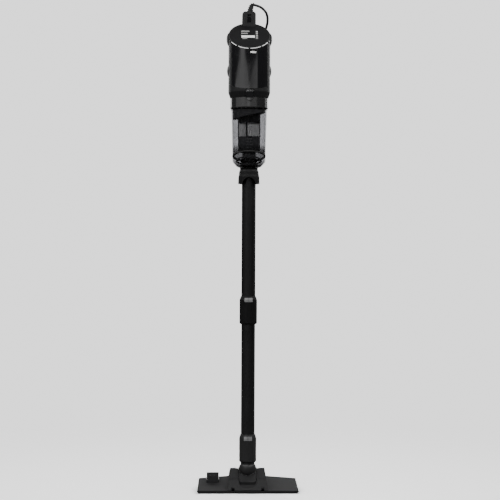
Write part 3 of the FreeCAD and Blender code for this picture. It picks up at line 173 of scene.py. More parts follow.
class Shader:
    """A node material under construction."""

    def __init__(self, name):
        self.material = bpy.data.materials.new(name)
        self.material.use_nodes = True
        self.tree = self.material.node_tree
        self.tree.nodes.clear()
        self.output = self.add("ShaderNodeOutputMaterial")
        self.coords = self.add("ShaderNodeTexCoord").outputs["Object"]

    def add(self, kind, **values):
        node = self.tree.nodes.new(kind)
        for key, value in values.items():
            setattr(node, key, value)
        return node

    def join(self, source, target):
        if isinstance(source, (int, float, tuple)):
            target.default_value = source
        else:
            self.tree.links.new(source, target)

    def stretched(self, scale):
        """Object coordinates scaled along each axis."""
        mapping = self.add("ShaderNodeMapping")
        mapping.inputs["Scale"].default_value = scale
        self.join(self.coords, mapping.inputs["Vector"])
        return mapping.outputs["Vector"]

    def along(self, axis):
        """The object coordinate along one axis, in metres."""
        parts = self.add("ShaderNodeSeparateXYZ")
        self.join(self.coords, parts.inputs[0])
        return parts.outputs[axis]

    def noise(self, scale, detail=3.0, rough=0.55, vector=None):
        node = self.add("ShaderNodeTexNoise")
        node.inputs["Scale"].default_value = scale
        node.inputs["Detail"].default_value = detail
        node.inputs["Roughness"].default_value = rough
        self.join(vector or self.coords, node.inputs["Vector"])
        return node.outputs["Fac"]

    def cells(self, scale, feature="F1", vector=None):
        node = self.add("ShaderNodeTexVoronoi", feature=feature)
        node.inputs["Scale"].default_value = scale
        self.join(vector or self.coords, node.inputs["Vector"])
        return node.outputs["Distance"]

    def spread(self, value, low, high, to_low, to_high):
        """value from low..high carried to to_low..to_high, kept inside it."""
        node = self.add("ShaderNodeMapRange")
        self.join(value, node.inputs["Value"])
        for key, number in zip(("From Min", "From Max", "To Min", "To Max"), (low, high, to_low, to_high)):
            node.inputs[key].default_value = number
        return node.outputs["Result"]

    def step(self, value, edge):
        return self.maths("GREATER_THAN", value, edge)

    def between(self, value, low, high):
        """1 from low to high, 0 outside."""
        above = self.step(value, low)
        return self.maths("MULTIPLY", above, self.maths("SUBTRACT", 1.0, self.step(value, high)))

    def maths(self, operation, a, b=0.0):
        node = self.add("ShaderNodeMath", operation=operation)
        self.join(a, node.inputs[0])
        self.join(b, node.inputs[1])
        return node.outputs[0]

    def mixed(self, factor, a, b):
        """A colour between a and b."""
        node = self.add("ShaderNodeMix", data_type="RGBA")
        self.join(factor, node.inputs[0])
        for value, index in ((a, 6), (b, 7)):
            self.join((*value, 1.0) if isinstance(value, tuple) else value, node.inputs[index])
        return node.outputs[2]

    def bumped(self, heights, normal=None):
        """Normals from (height socket, strength, distance in metres) layers."""
        for height, strength, distance in heights:
            node = self.add("ShaderNodeBump")
            node.inputs["Strength"].default_value = strength
            node.inputs["Distance"].default_value = distance
            self.join(height, node.inputs["Height"])
            if normal is not None:
                self.join(normal, node.inputs["Normal"])
            normal = node.outputs["Normal"]
        return normal

    def edges(self, radius):
        """1 on convex edges, 0 on flats."""
        bevel = self.add("ShaderNodeBevel", samples=4)
        bevel.inputs["Radius"].default_value = radius
        geometry = self.add("ShaderNodeNewGeometry")
        dot = self.add("ShaderNodeVectorMath", operation="DOT_PRODUCT")
        self.join(bevel.outputs["Normal"], dot.inputs[0])
        self.join(geometry.outputs["Normal"], dot.inputs[1])
        return self.spread(dot.outputs["Value"], 0.995, 0.86, 0.0, 1.0)

    def finish(self, color, rough, normal=None, **extra):
        shader = self.add("ShaderNodeBsdfPrincipled")
        self.join(color if not isinstance(color, tuple) else (*color, 1.0), shader.inputs["Base Color"])
        self.join(rough, shader.inputs["Roughness"])
        if normal is not None:
            self.join(normal, shader.inputs["Normal"])
        for key, value in extra.items():
            self.join(value, shader.inputs[key.replace("_", " ")])
        self.join(shader.outputs["BSDF"], self.output.inputs["Surface"])
        return self.material


def tinted(color, factor):
    return tuple(min(1.0, c * factor) for c in color)


def textured_plastic(name, color, rough, grain=0.0007, depth=0.00006, edge_wear_and_highlight=0.25, shine=0.4):
    """Spark-eroded black plastic: fine pebble grain, faint blotches, and polished edges painted lighter,
    partly as rubbed wear and partly as a painted edge highlight.
    """
    s = Shader(name)
    pebble = s.cells(1.0 / grain, "SMOOTH_F1")
    fine = s.noise(2.2 / grain, 2.0)
    blotch = s.noise(26.0, 4.0)
    shade = s.mixed(s.spread(blotch, 0.35, 0.68, 0.0, 1.0), tinted(color, 0.86), tinted(color, 1.12))
    grit = s.maths("MULTIPLY", s.spread(fine, 0.55, 0.75, 0.0, 1.0), 0.35)
    shade = s.mixed(grit, shade, tinted(color, 1.6))
    polished_and_highlit_edges = s.edges(0.0006)
    # edges painted lighter: partly rubbed wear, partly a painted highlight in place of light caught by
    # rounded edges
    shade = s.mixed(s.maths("MULTIPLY", polished_and_highlit_edges, edge_wear_and_highlight), shade, tinted(color, 2.1))
    gloss = s.spread(blotch, 0.3, 0.7, rough - 0.04, rough + 0.05)
    gloss = s.maths("SUBTRACT", gloss, s.maths("MULTIPLY", polished_and_highlit_edges, 0.12))
    normal = s.bumped([(pebble, 0.4, depth), (fine, 0.2, depth * 0.5)])
    return s.finish(shade, gloss, normal, Specular_IOR_Level=shine)


def gloss_plastic(name, color, rough=0.07, wave=0.00025):
    """Injection-moulded piano black: slow waviness, hairline scratches and a little dust."""
    s = Shader(name)
    slow = s.noise(16.0, 1.0, vector=s.stretched((1.0, 1.0, 0.45)))
    hairs = s.noise(900.0, 2.0, vector=s.stretched((1.0, 1.0, 0.03)))
    dust = s.cells(2600.0)
    smear = s.noise(34.0, 5.0, 0.6)
    gloss = s.spread(smear, 0.45, 0.8, rough, rough + 0.09)
    gloss = s.maths("ADD", gloss, s.spread(hairs, 0.66, 0.72, 0.0, 0.12))
    dusty = s.spread(s.noise(220.0), 0.62, 0.7, 0.0, 0.5)
    speck = s.maths("MULTIPLY", s.spread(dust, 0.1, 0.04, 0.0, 1.0), dusty)
    shade = s.mixed(speck, color, (0.16, 0.16, 0.155))
    normal = s.bumped([(slow, 0.35, wave * 10), (hairs, 0.04, 0.00002)])
    return s.finish(shade, gloss, normal, Specular_IOR_Level=0.55, Coat_Weight=0.6, Coat_Roughness=0.03)


def coated_tube(name, color, rough=0.34):
    """Powder-coated tube: orange peel with light rub marks along its length."""
    s = Shader(name)
    peel = s.noise(1500.0, 2.0)
    rubs = s.noise(420.0, 4.0, 0.7, s.stretched((1.0, 1.0, 0.012)))
    blotch = s.noise(18.0, 3.0)
    rubbed = s.spread(rubs, 0.56, 0.74, 0.0, 0.55)
    shade = s.mixed(rubbed, tinted(color, 0.92), tinted(color, 1.55))
    gloss = s.spread(blotch, 0.3, 0.7, rough - 0.05, rough + 0.06)
    gloss = s.maths("ADD", gloss, s.maths("MULTIPLY", rubbed, 0.12))
    return s.finish(shade, gloss, s.bumped([(peel, 0.25, 0.00003)]), Metallic=0.15, Specular_IOR_Level=0.5)


def rubber(name, color, rough=0.7, grain=0.0005):
    """Matt rubber with bloom and fine grain."""
    s = Shader(name)
    bloom = s.noise(60.0, 5.0, 0.65)
    fine = s.noise(1.2 / grain, 3.0)
    shade = s.mixed(s.spread(bloom, 0.42, 0.72, 0.0, 0.8), color, tinted(color, 1.9))
    gloss = s.spread(fine, 0.3, 0.7, rough - 0.08, rough + 0.1)
    normal = s.bumped([(fine, 0.35, 0.00008)])
    return s.finish(shade, gloss, normal, Specular_IOR_Level=0.3, Sheen_Weight=0.08)


def smoked_clear(name, clear, tint, rough=0.06, foot=None):
    """Thin smoked polycarbonate: mostly lets light through, mirrors at a glance, finely scratched inside."""
    s = Shader(name)
    scratches = s.noise(700.0, 3.0, 0.6, s.stretched((1.0, 1.0, 0.06)))
    film = s.noise(38.0, 5.0, 0.65)
    seen = s.add("ShaderNodeBsdfTransparent")
    smoke = s.mixed(s.spread(film, 0.35, 0.75, 0.0, 1.0), tinted(clear, 1.03), tinted(clear, 0.95))
    if foot:
        low, high, dark = foot
        smoke = s.mixed(s.spread(s.along("Z"), low, high, 1.0, 0.0), smoke, tinted(clear, dark))
    s.join(smoke, seen.inputs["Color"])
    solid = s.add("ShaderNodeBsdfPrincipled")
    solid.inputs["Base Color"].default_value = (*tint, 1.0)
    s.join(s.spread(scratches, 0.5, 0.75, rough, rough + 0.2), solid.inputs["Roughness"])
    solid.inputs["Specular IOR Level"].default_value = 1.0
    s.join(s.bumped([(s.noise(22.0, 1.0), 0.12, 0.001)]), solid.inputs["Normal"])
    facing = s.add("ShaderNodeLayerWeight")
    facing.inputs["Blend"].default_value = 0.5
    glance = s.maths("POWER", facing.outputs["Facing"], 4.0)
    haze = s.spread(film, 0.4, 0.8, 0.05, 0.09)
    cover = s.maths("MINIMUM", s.maths("ADD", s.maths("MULTIPLY", glance, 0.5), haze), 0.75)
    mix = s.add("ShaderNodeMixShader")
    s.join(cover, mix.inputs["Fac"])
    s.join(seen.outputs[0], mix.inputs[1])
    s.join(solid.outputs[0], mix.inputs[2])
    s.join(mix.outputs[0], s.output.inputs["Surface"])
    return s.material


def metal(name, color, rough, brush=(1.0, 1.0, 0.05), metallic=1.0):
    """Turned or pressed metal with a brushed grain and dull stains."""
    s = Shader(name)
    grain = s.noise(1200.0, 3.0, 0.7, s.stretched(brush))
    stain = s.noise(70.0, 4.0)
    shade = s.mixed(s.spread(stain, 0.4, 0.75, 0.0, 0.7), color, tinted(color, 0.62))
    gloss = s.spread(grain, 0.25, 0.75, rough - 0.08, rough + 0.14)
    return s.finish(shade, gloss, s.bumped([(grain, 0.18, 0.00005)]), Metallic=metallic)


def paper(name, color):
    """Fibrous filter paper, greyer in its folds."""
    s = Shader(name)
    fibre = s.noise(1500.0, 4.0, 0.75, s.stretched((1.0, 1.0, 0.3)))
    soot = s.noise(90.0, 4.0)
    shade = s.mixed(s.spread(fibre, 0.35, 0.7, 0.0, 1.0), tinted(color, 0.82), tinted(color, 1.1))
    shade = s.mixed(s.spread(soot, 0.45, 0.75, 0.0, 0.45), shade, tinted(color, 0.55))
    return s.finish(shade, 0.92, s.bumped([(fibre, 0.6, 0.0002)]), Specular_IOR_Level=0.15, Sheen_Weight=0.2)


def foam(name, color):
    """Open-cell foam."""
    s = Shader(name)
    pores = s.cells(900.0)
    shade = s.mixed(s.spread(pores, 0.1, 0.45, 0.0, 1.0), tinted(color, 0.3), tinted(color, 1.3))
    return s.finish(shade, 0.95, s.bumped([(pores, 0.9, 0.0008)]), Specular_IOR_Level=0.1)


def woven(name, color):
    """Fine woven wire: bright crossing threads over dark holes."""
    s = Shader(name)
    turns = s.maths("MULTIPLY", s.maths("ARCTAN2", s.along("X"), s.along("Y")), 26.0)
    across = s.maths("ABSOLUTE", s.maths("SINE", turns))
    up = s.maths("ABSOLUTE", s.maths("SINE", s.maths("MULTIPLY", s.along("Z"), 1150.0)))
    thread = s.maths("MAXIMUM", across, up)
    tarnish = s.noise(160.0, 4.0)
    shade = s.mixed(s.spread(thread, 0.55, 0.95, 0.0, 1.0), tinted(color, 0.25), color)
    shade = s.mixed(s.spread(tarnish, 0.45, 0.75, 0.0, 0.5), shade, tinted(color, 0.55))
    gloss = s.spread(tarnish, 0.3, 0.7, 0.4, 0.6)
    return s.finish(shade, gloss, s.bumped([(thread, 0.6, 0.0002)]), Metallic=0.4)


def nylon(name, color):
    """Bristle: dark, slightly shiny, each a little different along its length."""
    s = Shader(name)
    streak = s.noise(700.0, 2.0, 0.6, s.stretched((1.0, 1.0, 0.2)))
    shade = s.mixed(s.spread(streak, 0.3, 0.75, 0.0, 1.0), tinted(color, 0.6), tinted(color, 1.7))
    return s.finish(shade, s.spread(streak, 0.3, 0.7, 0.35, 0.6), Specular_IOR_Level=0.45)


BAR_X, BAR_Y = (-0.030, 0.0138), (-0.0083, 0.0008)
DASHES_PER_METRE = 410.0
GAP_SHARE = 0.32
COVER_FRONT_Y = -0.02


def printed(name, color):
    """Pad-printed ink, worn in tiny spots: full on the cover and on the long bar, even dashes elsewhere."""
    s = Shader(name)
    worn = s.noise(2400.0, 3.0, 0.7)
    dash = s.step(s.maths("FRACT", s.maths("MULTIPLY", s.along("X"), DASHES_PER_METRE)), GAP_SHARE)
    bar = s.maths("MULTIPLY", s.between(s.along("X"), *BAR_X), s.between(s.along("Y"), *BAR_Y))
    marks = s.maths("GREATER_THAN", COVER_FRONT_Y, s.along("Y"))
    full = s.maths("MAXIMUM", bar, marks)
    ink = s.maths("MAXIMUM", full, s.maths("MULTIPLY", dash, 0.55))
    shade = s.mixed(ink, tinted(color, 0.03), color)
    shade = s.mixed(s.spread(worn, 0.62, 0.74, 0.0, 0.5), shade, tinted(color, 0.3))
    return s.finish(shade, s.spread(worn, 0.3, 0.7, 0.4, 0.6), s.bumped([(worn, 0.2, 0.00003)]))


def laminated(name, color):
    """Stacked electrical steel: thin dark lines between sheets."""
    s = Shader(name)
    wave = s.add("ShaderNodeTexWave", wave_type="BANDS", bands_direction="Z")
    wave.inputs["Scale"].default_value = 320.0
    wave.inputs["Distortion"].default_value = 0.6
    s.join(s.coords, wave.inputs["Vector"])
    sheets = wave.outputs["Fac"]
    shade = s.mixed(s.spread(sheets, 0.2, 0.8, 0.0, 1.0), tinted(color, 0.4), color)
    gloss = s.spread(s.noise(200.0), 0.3, 0.7, 0.4, 0.6)
    return s.finish(shade, gloss, s.bumped([(sheets, 0.4, 0.0002)]), Metallic=0.9)


# maker, colour, then the maker's own values in its order
FINISHES = {
    "nozzle_plastic": (textured_plastic, (0.0135, 0.0135, 0.014), 0.54, 0.0007, 0.00006, 0.25, 0.26),
    "body_plastic": (textured_plastic, (0.010, 0.010, 0.0105), 0.48, 0.0005, 0.00004, 0.15, 0.22),
    "neck_plastic": (textured_plastic, (0.020, 0.020, 0.0205), 0.45, 0.0005, 0.00004, 0.15, 0.35),
    "collar_plastic": (textured_plastic, (0.006, 0.006, 0.0063), 0.55, 0.0005, 0.00004, 0.1, 0.15),
    "ring_plastic": (textured_plastic, (0.07, 0.07, 0.072), 0.5, 0.0005, 0.00004, 0.1, 0.3),
    "cap_plastic": (textured_plastic, (0.007, 0.007, 0.0075), 0.62, 0.0009, 0.00012, 0.1, 0.2),
    "gloss_black": (gloss_plastic, (0.006, 0.006, 0.007)),
    "rim_gloss": (gloss_plastic, (0.012, 0.012, 0.012), 0.05, 0.00005),
    "button_gloss": (gloss_plastic, (0.2, 0.2, 0.203), 0.2),
    "collar_smoke": (gloss_plastic, (0.012, 0.012, 0.0125), 0.24),
    "smoked_clear": (smoked_clear, (0.70, 0.70, 0.71), (0.02, 0.02, 0.021), 0.06, (0.784, 0.800, 0.60)),
    "base_smoke": (smoked_clear, (0.7, 0.7, 0.71), (0.03, 0.03, 0.031), 0.1, (0.747, 0.762, 0.45)),
    "tube_coat": (coated_tube, (0.006, 0.006, 0.0065)),
    "rubber_black": (rubber, (0.012, 0.012, 0.012)),
    "cord_jacket": (rubber, (0.010, 0.010, 0.011), 0.5, 0.0003),
    "steel": (metal, (0.56, 0.56, 0.57), 0.3),
    "fan_metal": (metal, (0.72, 0.73, 0.74), 0.28, (1.0, 0.06, 1.0)),
    "motor_core": (laminated, (0.42, 0.42, 0.44)),
    "filter_paper": (paper, (0.80, 0.80, 0.78)),
    "filter_foam": (foam, (0.05, 0.05, 0.05)),
    "screen_mesh": (woven, (0.30, 0.30, 0.305)),
    "bristle": (nylon, (0.03, 0.03, 0.032)),
    "label_white": (printed, (0.9, 0.9, 0.88)),
    "carbon": (rubber, (0.04, 0.04, 0.042), 0.5),
    "strap": (foam, (0.02, 0.02, 0.021)),
}
MATERIALS = {name: maker(name, *values) for name, (maker, *values) in FINISHES.items()}
SLOT_OF = {s["node"]: s["material_slot"] for s in frame["record"]["subparts"]}
SPECIAL = {
    "end_cap": "cap_plastic",
    "cup_base": "base_smoke",
    "guard_ring": "ring_plastic",
    "filter_basket": "ring_plastic",
    "inlet_pipe": "ring_plastic",
    "spiral_guide": "ring_plastic",
    "inlet_collar": "collar_plastic",
    "mid_collar": "collar_plastic",
    "neck_elbow": "neck_plastic",
    "neck_socket": "neck_plastic",
    "neck_button": "button_gloss",
    "mid_button": "button_gloss",
    "inlet_button": "button_gloss",
}


def dress(obj, material):
    obj.data.materials.clear()
    obj.data.materials.append(MATERIALS[material])


for node_name, node_object in nodes.items():
    dress(node_object, SPECIAL.get(node_name, SLOT_OF[node_name]))


# ---- Mesh helpers ----
def mesh_object(name, bm, material, body, smooth=True):
    """A finished piece from a bmesh: it rides on the body and takes the slot's finish."""
    bmesh.ops.recalc_face_normals(bm, faces=bm.faces)
    data = bpy.data.meshes.new(name)
    bm.to_mesh(data)
    bm.free()
    for face in data.polygons:
        face.use_smooth = smooth
    data.materials.append(MATERIALS[material])
    piece = link(bpy.data.objects.new(name, data))
    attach(piece, body)
    return piece


def loft(bm, rings, cap=True):
    """Skins a list of closed rings of points that all have the same count."""
    rows = [[bm.verts.new(point) for point in ring] for ring in rings]
    count = len(rows[0])
    for low, high in zip(rows, rows[1:]):
        for i in range(count):
            j = (i + 1) % count
            bm.faces.new((low[i], low[j], high[j], high[i]))
    if cap:
        bm.faces.new(rows[0][::-1])
        bm.faces.new(rows[-1])


def superellipse(centre, half_x, half_y, z, power=3.0, count=32):
    """A rounded rectangle round a centre (x, y) at height z."""
    ring = []
    for i in range(count):
        angle = 2 * math.pi * i / count
        c, s = math.cos(angle), math.sin(angle)
        x = half_x * math.copysign(abs(c) ** (2 / power), c)
        y = half_y * math.copysign(abs(s) ** (2 / power), s)
        ring.append((centre[0] + x, centre[1] + y, z))
    return ring


# ---- Cord pieces ----
# distance below the plug's top, half width and half depth
PLUG_PROFILE = [
    (0.0, 0.0034, 0.0034),
    (0.0012, 0.0044, 0.0044),
    (0.014, 0.0058, 0.0056),
    (0.016, 0.0076, 0.0062),
    (0.020, 0.0106, 0.0068),
    (0.026, 0.0148, 0.0076),
    (0.030, 0.0164, 0.0079),
    (0.0395, 0.0169, 0.0079),
    (0.0413, 0.0164, 0.0074),
    (0.042, 0.0148, 0.0062),
]
PLUG_LENGTH = PLUG_PROFILE[-1][0]
SHOULDER = 0.026
RIBS, RIB_FIRST, RIB_PITCH = 5, 0.0028, 0.0022
# drop below a rib's top and the cut into the neck there
RIB_PROFILE = ((0.0, 0.0), (0.0002, 0.0009), (0.0009, 0.0009), (0.0011, 0.0))
PIN_OFFSET = 0.0095
# radius, start below the plug's foot and length: the sleeved part of a pin, then its tip
PIN_PARTS = ((0.00235, 0.0, 0.0085), (0.0024, 0.0085, 0.0100))
TIE_INSET, TIE_LENGTH, TIE_THICKNESS, TIE_BULGE = 0.0476, 0.016, 0.0012, 0.0004


def neck_ribs(centre, top):
    """Rings for the shallow grooves in the plug's neck."""
    rings = []
    for rib in range(RIBS):
        z = top - RIB_FIRST - rib * RIB_PITCH
        size = PLUG_PROFILE[1][1] + 0.0001 * rib
        for drop, cut in RIB_PROFILE:
            rings.append(superellipse(centre, size - cut, size - cut, z - drop, 2.0, 40))
    return rings


def pin_rings(centre, radius, top, tip):
    """Rings for one part of a pin, rounded at its tip."""
    stations = ((top + 0.001, 1.0), (tip + 0.0006, 1.0), (tip + 0.0001, 0.8), (tip, 0.4))
    return [superellipse(centre, radius * scale, radius * scale, z, 2.0, 24) for z, scale in stations]


def make_plug():
    """Moulded plug: a ribbed neck that swells into a flat body, and two steel pins."""
    centre = (TAIL[-1][0], TAIL[-1][1])
    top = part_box("mains_plug")[1][2]
    foot = top - PLUG_LENGTH
    bm = bmesh.new()
    rings = []
    for i, (down, half_x, half_y) in enumerate(PLUG_PROFILE):
        squareness = 2.0 + 1.2 * min(1.0, down / SHOULDER)
        rings.append(superellipse(centre, half_x, half_y, top - down, squareness, 40))
        if i == 1:
            rings += neck_ribs(centre, top)
    loft(bm, rings[::-1])
    body = mesh_object("plug_body", bm, "rubber_black", "motor_unit")
    body.modifiers.new("soft", "SUBSURF").levels = 1
    body.modifiers["soft"].render_levels = 1
    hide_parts("mains_plug")
    bm = bmesh.new()
    for side in (-1, 1):
        axis = (centre[0] + side * PIN_OFFSET, centre[1])
        for radius, start, length in PIN_PARTS:
            loft(bm, pin_rings(axis, radius, foot - start, foot - start - length)[::-1])
    pins = mesh_object("plug_pins", bm, "steel", "motor_unit")
    return [body, pins]


def make_cord_tie():
    """A hook-and-loop strap round the right-hand runs of the hank."""
    low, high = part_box("cord_hank")
    x0, x1 = low[0] + TIE_INSET, high[0] + 0.0006
    y0, y1 = low[1] - 0.0004, high[1] + 0.0004
    centre = ((x0 + x1) / 2, (y0 + y1) / 2)
    middle = (low[2] + high[2]) / 2 - 0.004
    bm = bmesh.new()
    steps = 9
    sheets = []
    for grow in (0.0, TIE_THICKNESS):
        rings = []
        for i in range(steps):
            z = middle - TIE_LENGTH / 2 + TIE_LENGTH * i / (steps - 1)
            bulge = TIE_BULGE * math.sin(math.pi * i / (steps - 1))
            size_x, size_y = (x1 - x0) / 2 + grow + bulge, (y1 - y0) / 2 + grow + bulge
            rings.append(superellipse(centre, size_x, size_y, z, 5.0, 56))
        sheets.append(rings)
    loft(bm, sheets[0] + sheets[1][::-1] + [sheets[0][0]], cap=False)
    bmesh.ops.remove_doubles(bm, verts=bm.verts, dist=0.00001)
    return mesh_object("cord_tie", bm, "strap", "motor_unit")


cord.data.materials.append(MATERIALS["cord_jacket"])
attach(cord, "motor_unit")
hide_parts("power_cord", "cord_hank", "cord_tail")
plug_pieces = make_plug()
cord_tie = make_cord_tie()


# ---- Blank printed bar on the front cover ----
MARK_X, MARK_Z = (0.0010, 0.0142), (1.0045, 1.0085)
MARK_STEPS = 9


def make_cover_marks():
    """A plain pale bar, a tenth of a millimetre proud of the cover and curved with it."""
    radius = -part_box("front_cover")[0][1] + 0.00005
    (left, right), (low, high) = MARK_X, MARK_Z
    rings = []
    for i in range(MARK_STEPS):
        x = left + (right - left) * i / (MARK_STEPS - 1)
        near, far = (-math.sqrt(reach * reach - x * x) for reach in (radius - 0.0003, radius + 0.0001))
        rings.append([(x, near, low), (x, far, low), (x, far, high), (x, near, high)])
    bm = bmesh.new()
    loft(bm, rings)
    return mesh_object("cover_marks", bm, "label_white", "motor_unit", smooth=False)


make_cover_marks()


# ---- Trim ring round the slanted end ----
TRIM_WALL = 0.0025
TRIM_HEIGHT = 0.0047


def make_cap_ring():
    """The glossy ring with a steep bevel along its outer edge, which catches the light as a thin line."""
    low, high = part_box("cap_ring")
    outer, inner = high[0], high[0] - TRIM_WALL
    slope = (high[2] - low[2] - TRIM_HEIGHT) / (2 * outer)
    middle_top = (high[2] + low[2] + TRIM_HEIGHT) / 2
    profile = [
        (inner, -0.0046),
        (outer, -0.0046),
        (outer, -0.00115),
        (outer - 0.00035, 0.0),
        (outer - 0.0012, 0.0),
        (inner + 0.0002, 0.0),
        (inner, -0.0003),
    ]
    count = 160
    bm = bmesh.new()
    rows = []
    for radius, lift in profile:
        row = []
        for i in range(count):
            angle = 2 * math.pi * i / count
            x, y = radius * math.sin(angle), -radius * math.cos(angle)
            row.append(bm.verts.new((x, y, middle_top + slope * y + lift)))
        rows.append(row)
    for near, far in zip(rows, rows[1:] + rows[:1]):
        for i in range(count):
            j = (i + 1) % count
            bm.faces.new((near[i], near[j], far[j], far[i]))
    for row in rows:
        for i in range(count):
            bm.edges.get((row[i], row[(i + 1) % count])).smooth = False
    ring = mesh_object("trim_ring", bm, "rim_gloss", "motor_unit")
    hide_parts("cap_ring")


make_cap_ring()


# ---- Screen inside the basket ----
SCREEN_INSET = 0.00225
SCREEN_THICKNESS = 0.0003
SCREEN_FOOT, SCREEN_HEAD = 0.003, 0.0026
WEAVE_DEPTH, WEAVE_WAVES = 0.00006, 24


def make_basket_screen():
    """A fine woven screen behind the basket's windows."""
    low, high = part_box("filter_basket")
    outer = high[0] - SCREEN_INSET
    bottom, top = low[2] + SCREEN_FOOT, high[2] - SCREEN_HEAD
    count, levels = 96, 9
    bm = bmesh.new()
    rings = []
    for reach in (outer, outer - SCREEN_THICKNESS):
        wall = []
        for level in range(levels):
            z = bottom + (top - bottom) * level / (levels - 1)
            ring = []
            for i in range(count):
                angle = 2 * math.pi * i / count
                weave = WEAVE_DEPTH * math.sin(angle * WEAVE_WAVES) * math.cos(math.pi * level)
                radius = reach - abs(weave)
                ring.append((radius * math.cos(angle), radius * math.sin(angle), z))
            wall.append(ring)
        rings.append(wall)
    loft(bm, rings[0] + rings[1][::-1] + [rings[0][0]], cap=False)
    bmesh.ops.remove_doubles(bm, verts=bm.verts, dist=0.000005)
    return mesh_object("basket_screen", bm, "screen_mesh", "filter_set")


make_basket_screen()


# ---- Lips beside the pedal and fins beside the neck's ball, which close thin gaps ----
LIP_FOOT, LIP_GAP, LIP_WIDTH = 0.0085, 0.00002, 0.0016
LIP_FRONT, LIP_REAR = 0.0145, 0.0200
FIN_X, FIN_Y, FIN_Z = (0.0176, 0.0208), (0.0064, 0.0078), (0.0265, 0.0535)


def box_between(bm, low, high, count=6):
    """A slim box cut into a few bands along its depth."""
    rings = []
    for i in range(count):
        y = low[1] + (high[1] - low[1]) * i / (count - 1)
        rings.append([(low[0], y, low[2]), (high[0], y, low[2]), (high[0], y, high[2]), (low[0], y, high[2])])
    loft(bm, rings)


def make_lips():
    """Rubber wiper lips on both sides of the pedal's slot."""
    low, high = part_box("pedal")
    bm = bmesh.new()
    for x0, x1 in ((low[0] - LIP_WIDTH, low[0] - LIP_GAP), (high[0] + LIP_GAP, high[0] + LIP_WIDTH)):
        box_between(bm, (x0, low[1] + 0.006, LIP_FOOT), (x1, low[1] + 0.0078, LIP_FRONT))
        box_between(bm, (x0, high[1] - 0.014, LIP_FOOT), (x1, high[1] - 0.0125, LIP_REAR))
    return mesh_object("pedal_lips", bm, "rubber_black", "floor_nozzle", smooth=False)


def make_ball_fins():
    """Thin fins on the drum that close the gap between the ball and the nozzle's cheeks."""
    bm = bmesh.new()
    for side in (-1, 1):
        x0, x1 = sorted(side * x for x in FIN_X)
        box_between(bm, (x0, FIN_Y[0], FIN_Z[0]), (x1, FIN_Y[1], FIN_Z[1]))
    return mesh_object("ball_fins", bm, "neck_plastic", "neck_lower", smooth=False)


make_lips()
make_ball_fins()


# ---- Brush tufts ----
TUFT_PITCH, TUFT_RADIUS, HAIRS_IN_TUFT = 0.0028, 0.0009, 11
ROW_INSET = 0.00115
REAR_ROW_GAP = 0.026
HAIR_RADIUS, HAIR_TAPER = 0.00021, 0.45
HAIR_CORNERS = (0, 2.1, 4.2)


def hair_ring(spot, size):
    """Three corners round a point on a hair."""
    return [(spot.x + size * math.cos(a), spot.y + size * math.sin(a), spot.z) for a in HAIR_CORNERS]


def make_bristles():
    """Tufts of fine tapered hairs that splay a little, in place of the plain rods."""
    low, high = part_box("brush_bristles")
    picks = random.Random(7)
    bm = bmesh.new()
    rows = [(low[1] + ROW_INSET, low[0], high[0])]
    rear_y = high[1] - ROW_INSET
    rows += [(rear_y, low[0], -REAR_ROW_GAP), (rear_y, REAR_ROW_GAP, high[0])]
    for y, x0, x1 in rows:
        count = int((x1 - x0) / TUFT_PITCH)
        for i in range(count):
            x = x0 + (i + 0.5) * (x1 - x0) / count
            for hair in range(HAIRS_IN_TUFT):
                angle = 2.4 * hair
                away = TUFT_RADIUS * math.sqrt((hair + 0.5) / HAIRS_IN_TUFT)
                root = Vector((x + away * math.cos(angle), y + away * math.sin(angle), high[2]))
                lean = Vector((math.cos(angle), math.sin(angle), 0)) * picks.uniform(0.0, 0.00022)
                bend = Vector((picks.uniform(-1, 1), picks.uniform(-1, 1), 0)) * 0.00012
                rings = []
                for share in (0.0, 0.5, 1.0):
                    spot = root + (lean * share + bend * share * share)
                    spot.z = high[2] + (low[2] - high[2]) * share * picks.uniform(0.97, 1.0)
                    rings.append(hair_ring(spot, HAIR_RADIUS * (1.0 - HAIR_TAPER * share)))
                loft(bm, rings[::-1])
    piece = mesh_object("brush_tufts", bm, "bristle", "brush")
    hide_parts("brush_bristles")


make_bristles()


# ---- Studio ----
BACKGROUND = 1.7
FLOOR_SIZE = 9.0
FLOOR_PALE, FLOOR_LIFT = 0.2, 1.7
FADE_START, FADE_END = 0.3, 1.3
ROOM = 0.05
# Each card's left edge and right edge, each with its lean (degrees of azimuth per degree of elevation), then
# its lowest and highest elevation, the softness of its edges and its radiance.
CARDS = [
    (-78.7, 19.7, -4.0, -17.0, 3.0, 40.0, 3.0, 0.95),
    (3.5, 34.0, 45.0, 0.0, 3.0, 30.0, 3.0, 0.7),
    (116.0, 0.0, 123.0, 0.0, -20.0, 60.0, 2.0, 1.8),
    (-180.0, 0.0, -140.0, 0.0, 25.0, 70.0, 8.0, 0.35),
    (140.0, 0.0, 180.0, 0.0, 25.0, 70.0, 8.0, 0.35),
]
# An edge leans only between these elevations, and its azimuth is given at LEAN_LEVEL.
LEAN_LOW, LEAN_HIGH, LEAN_LEVEL = 6.5, 8.5, 7.0
# azimuth and height of each strip
RIM_STRIPS = ((-78, 1.95), (-30, 2.2), (30, 2.2), (78, 1.95))
REAR_FILLS = (-150, 150)


def camera_rays(tree):
    return tree.nodes.new("ShaderNodeLightPath").outputs["Is Camera Ray"]


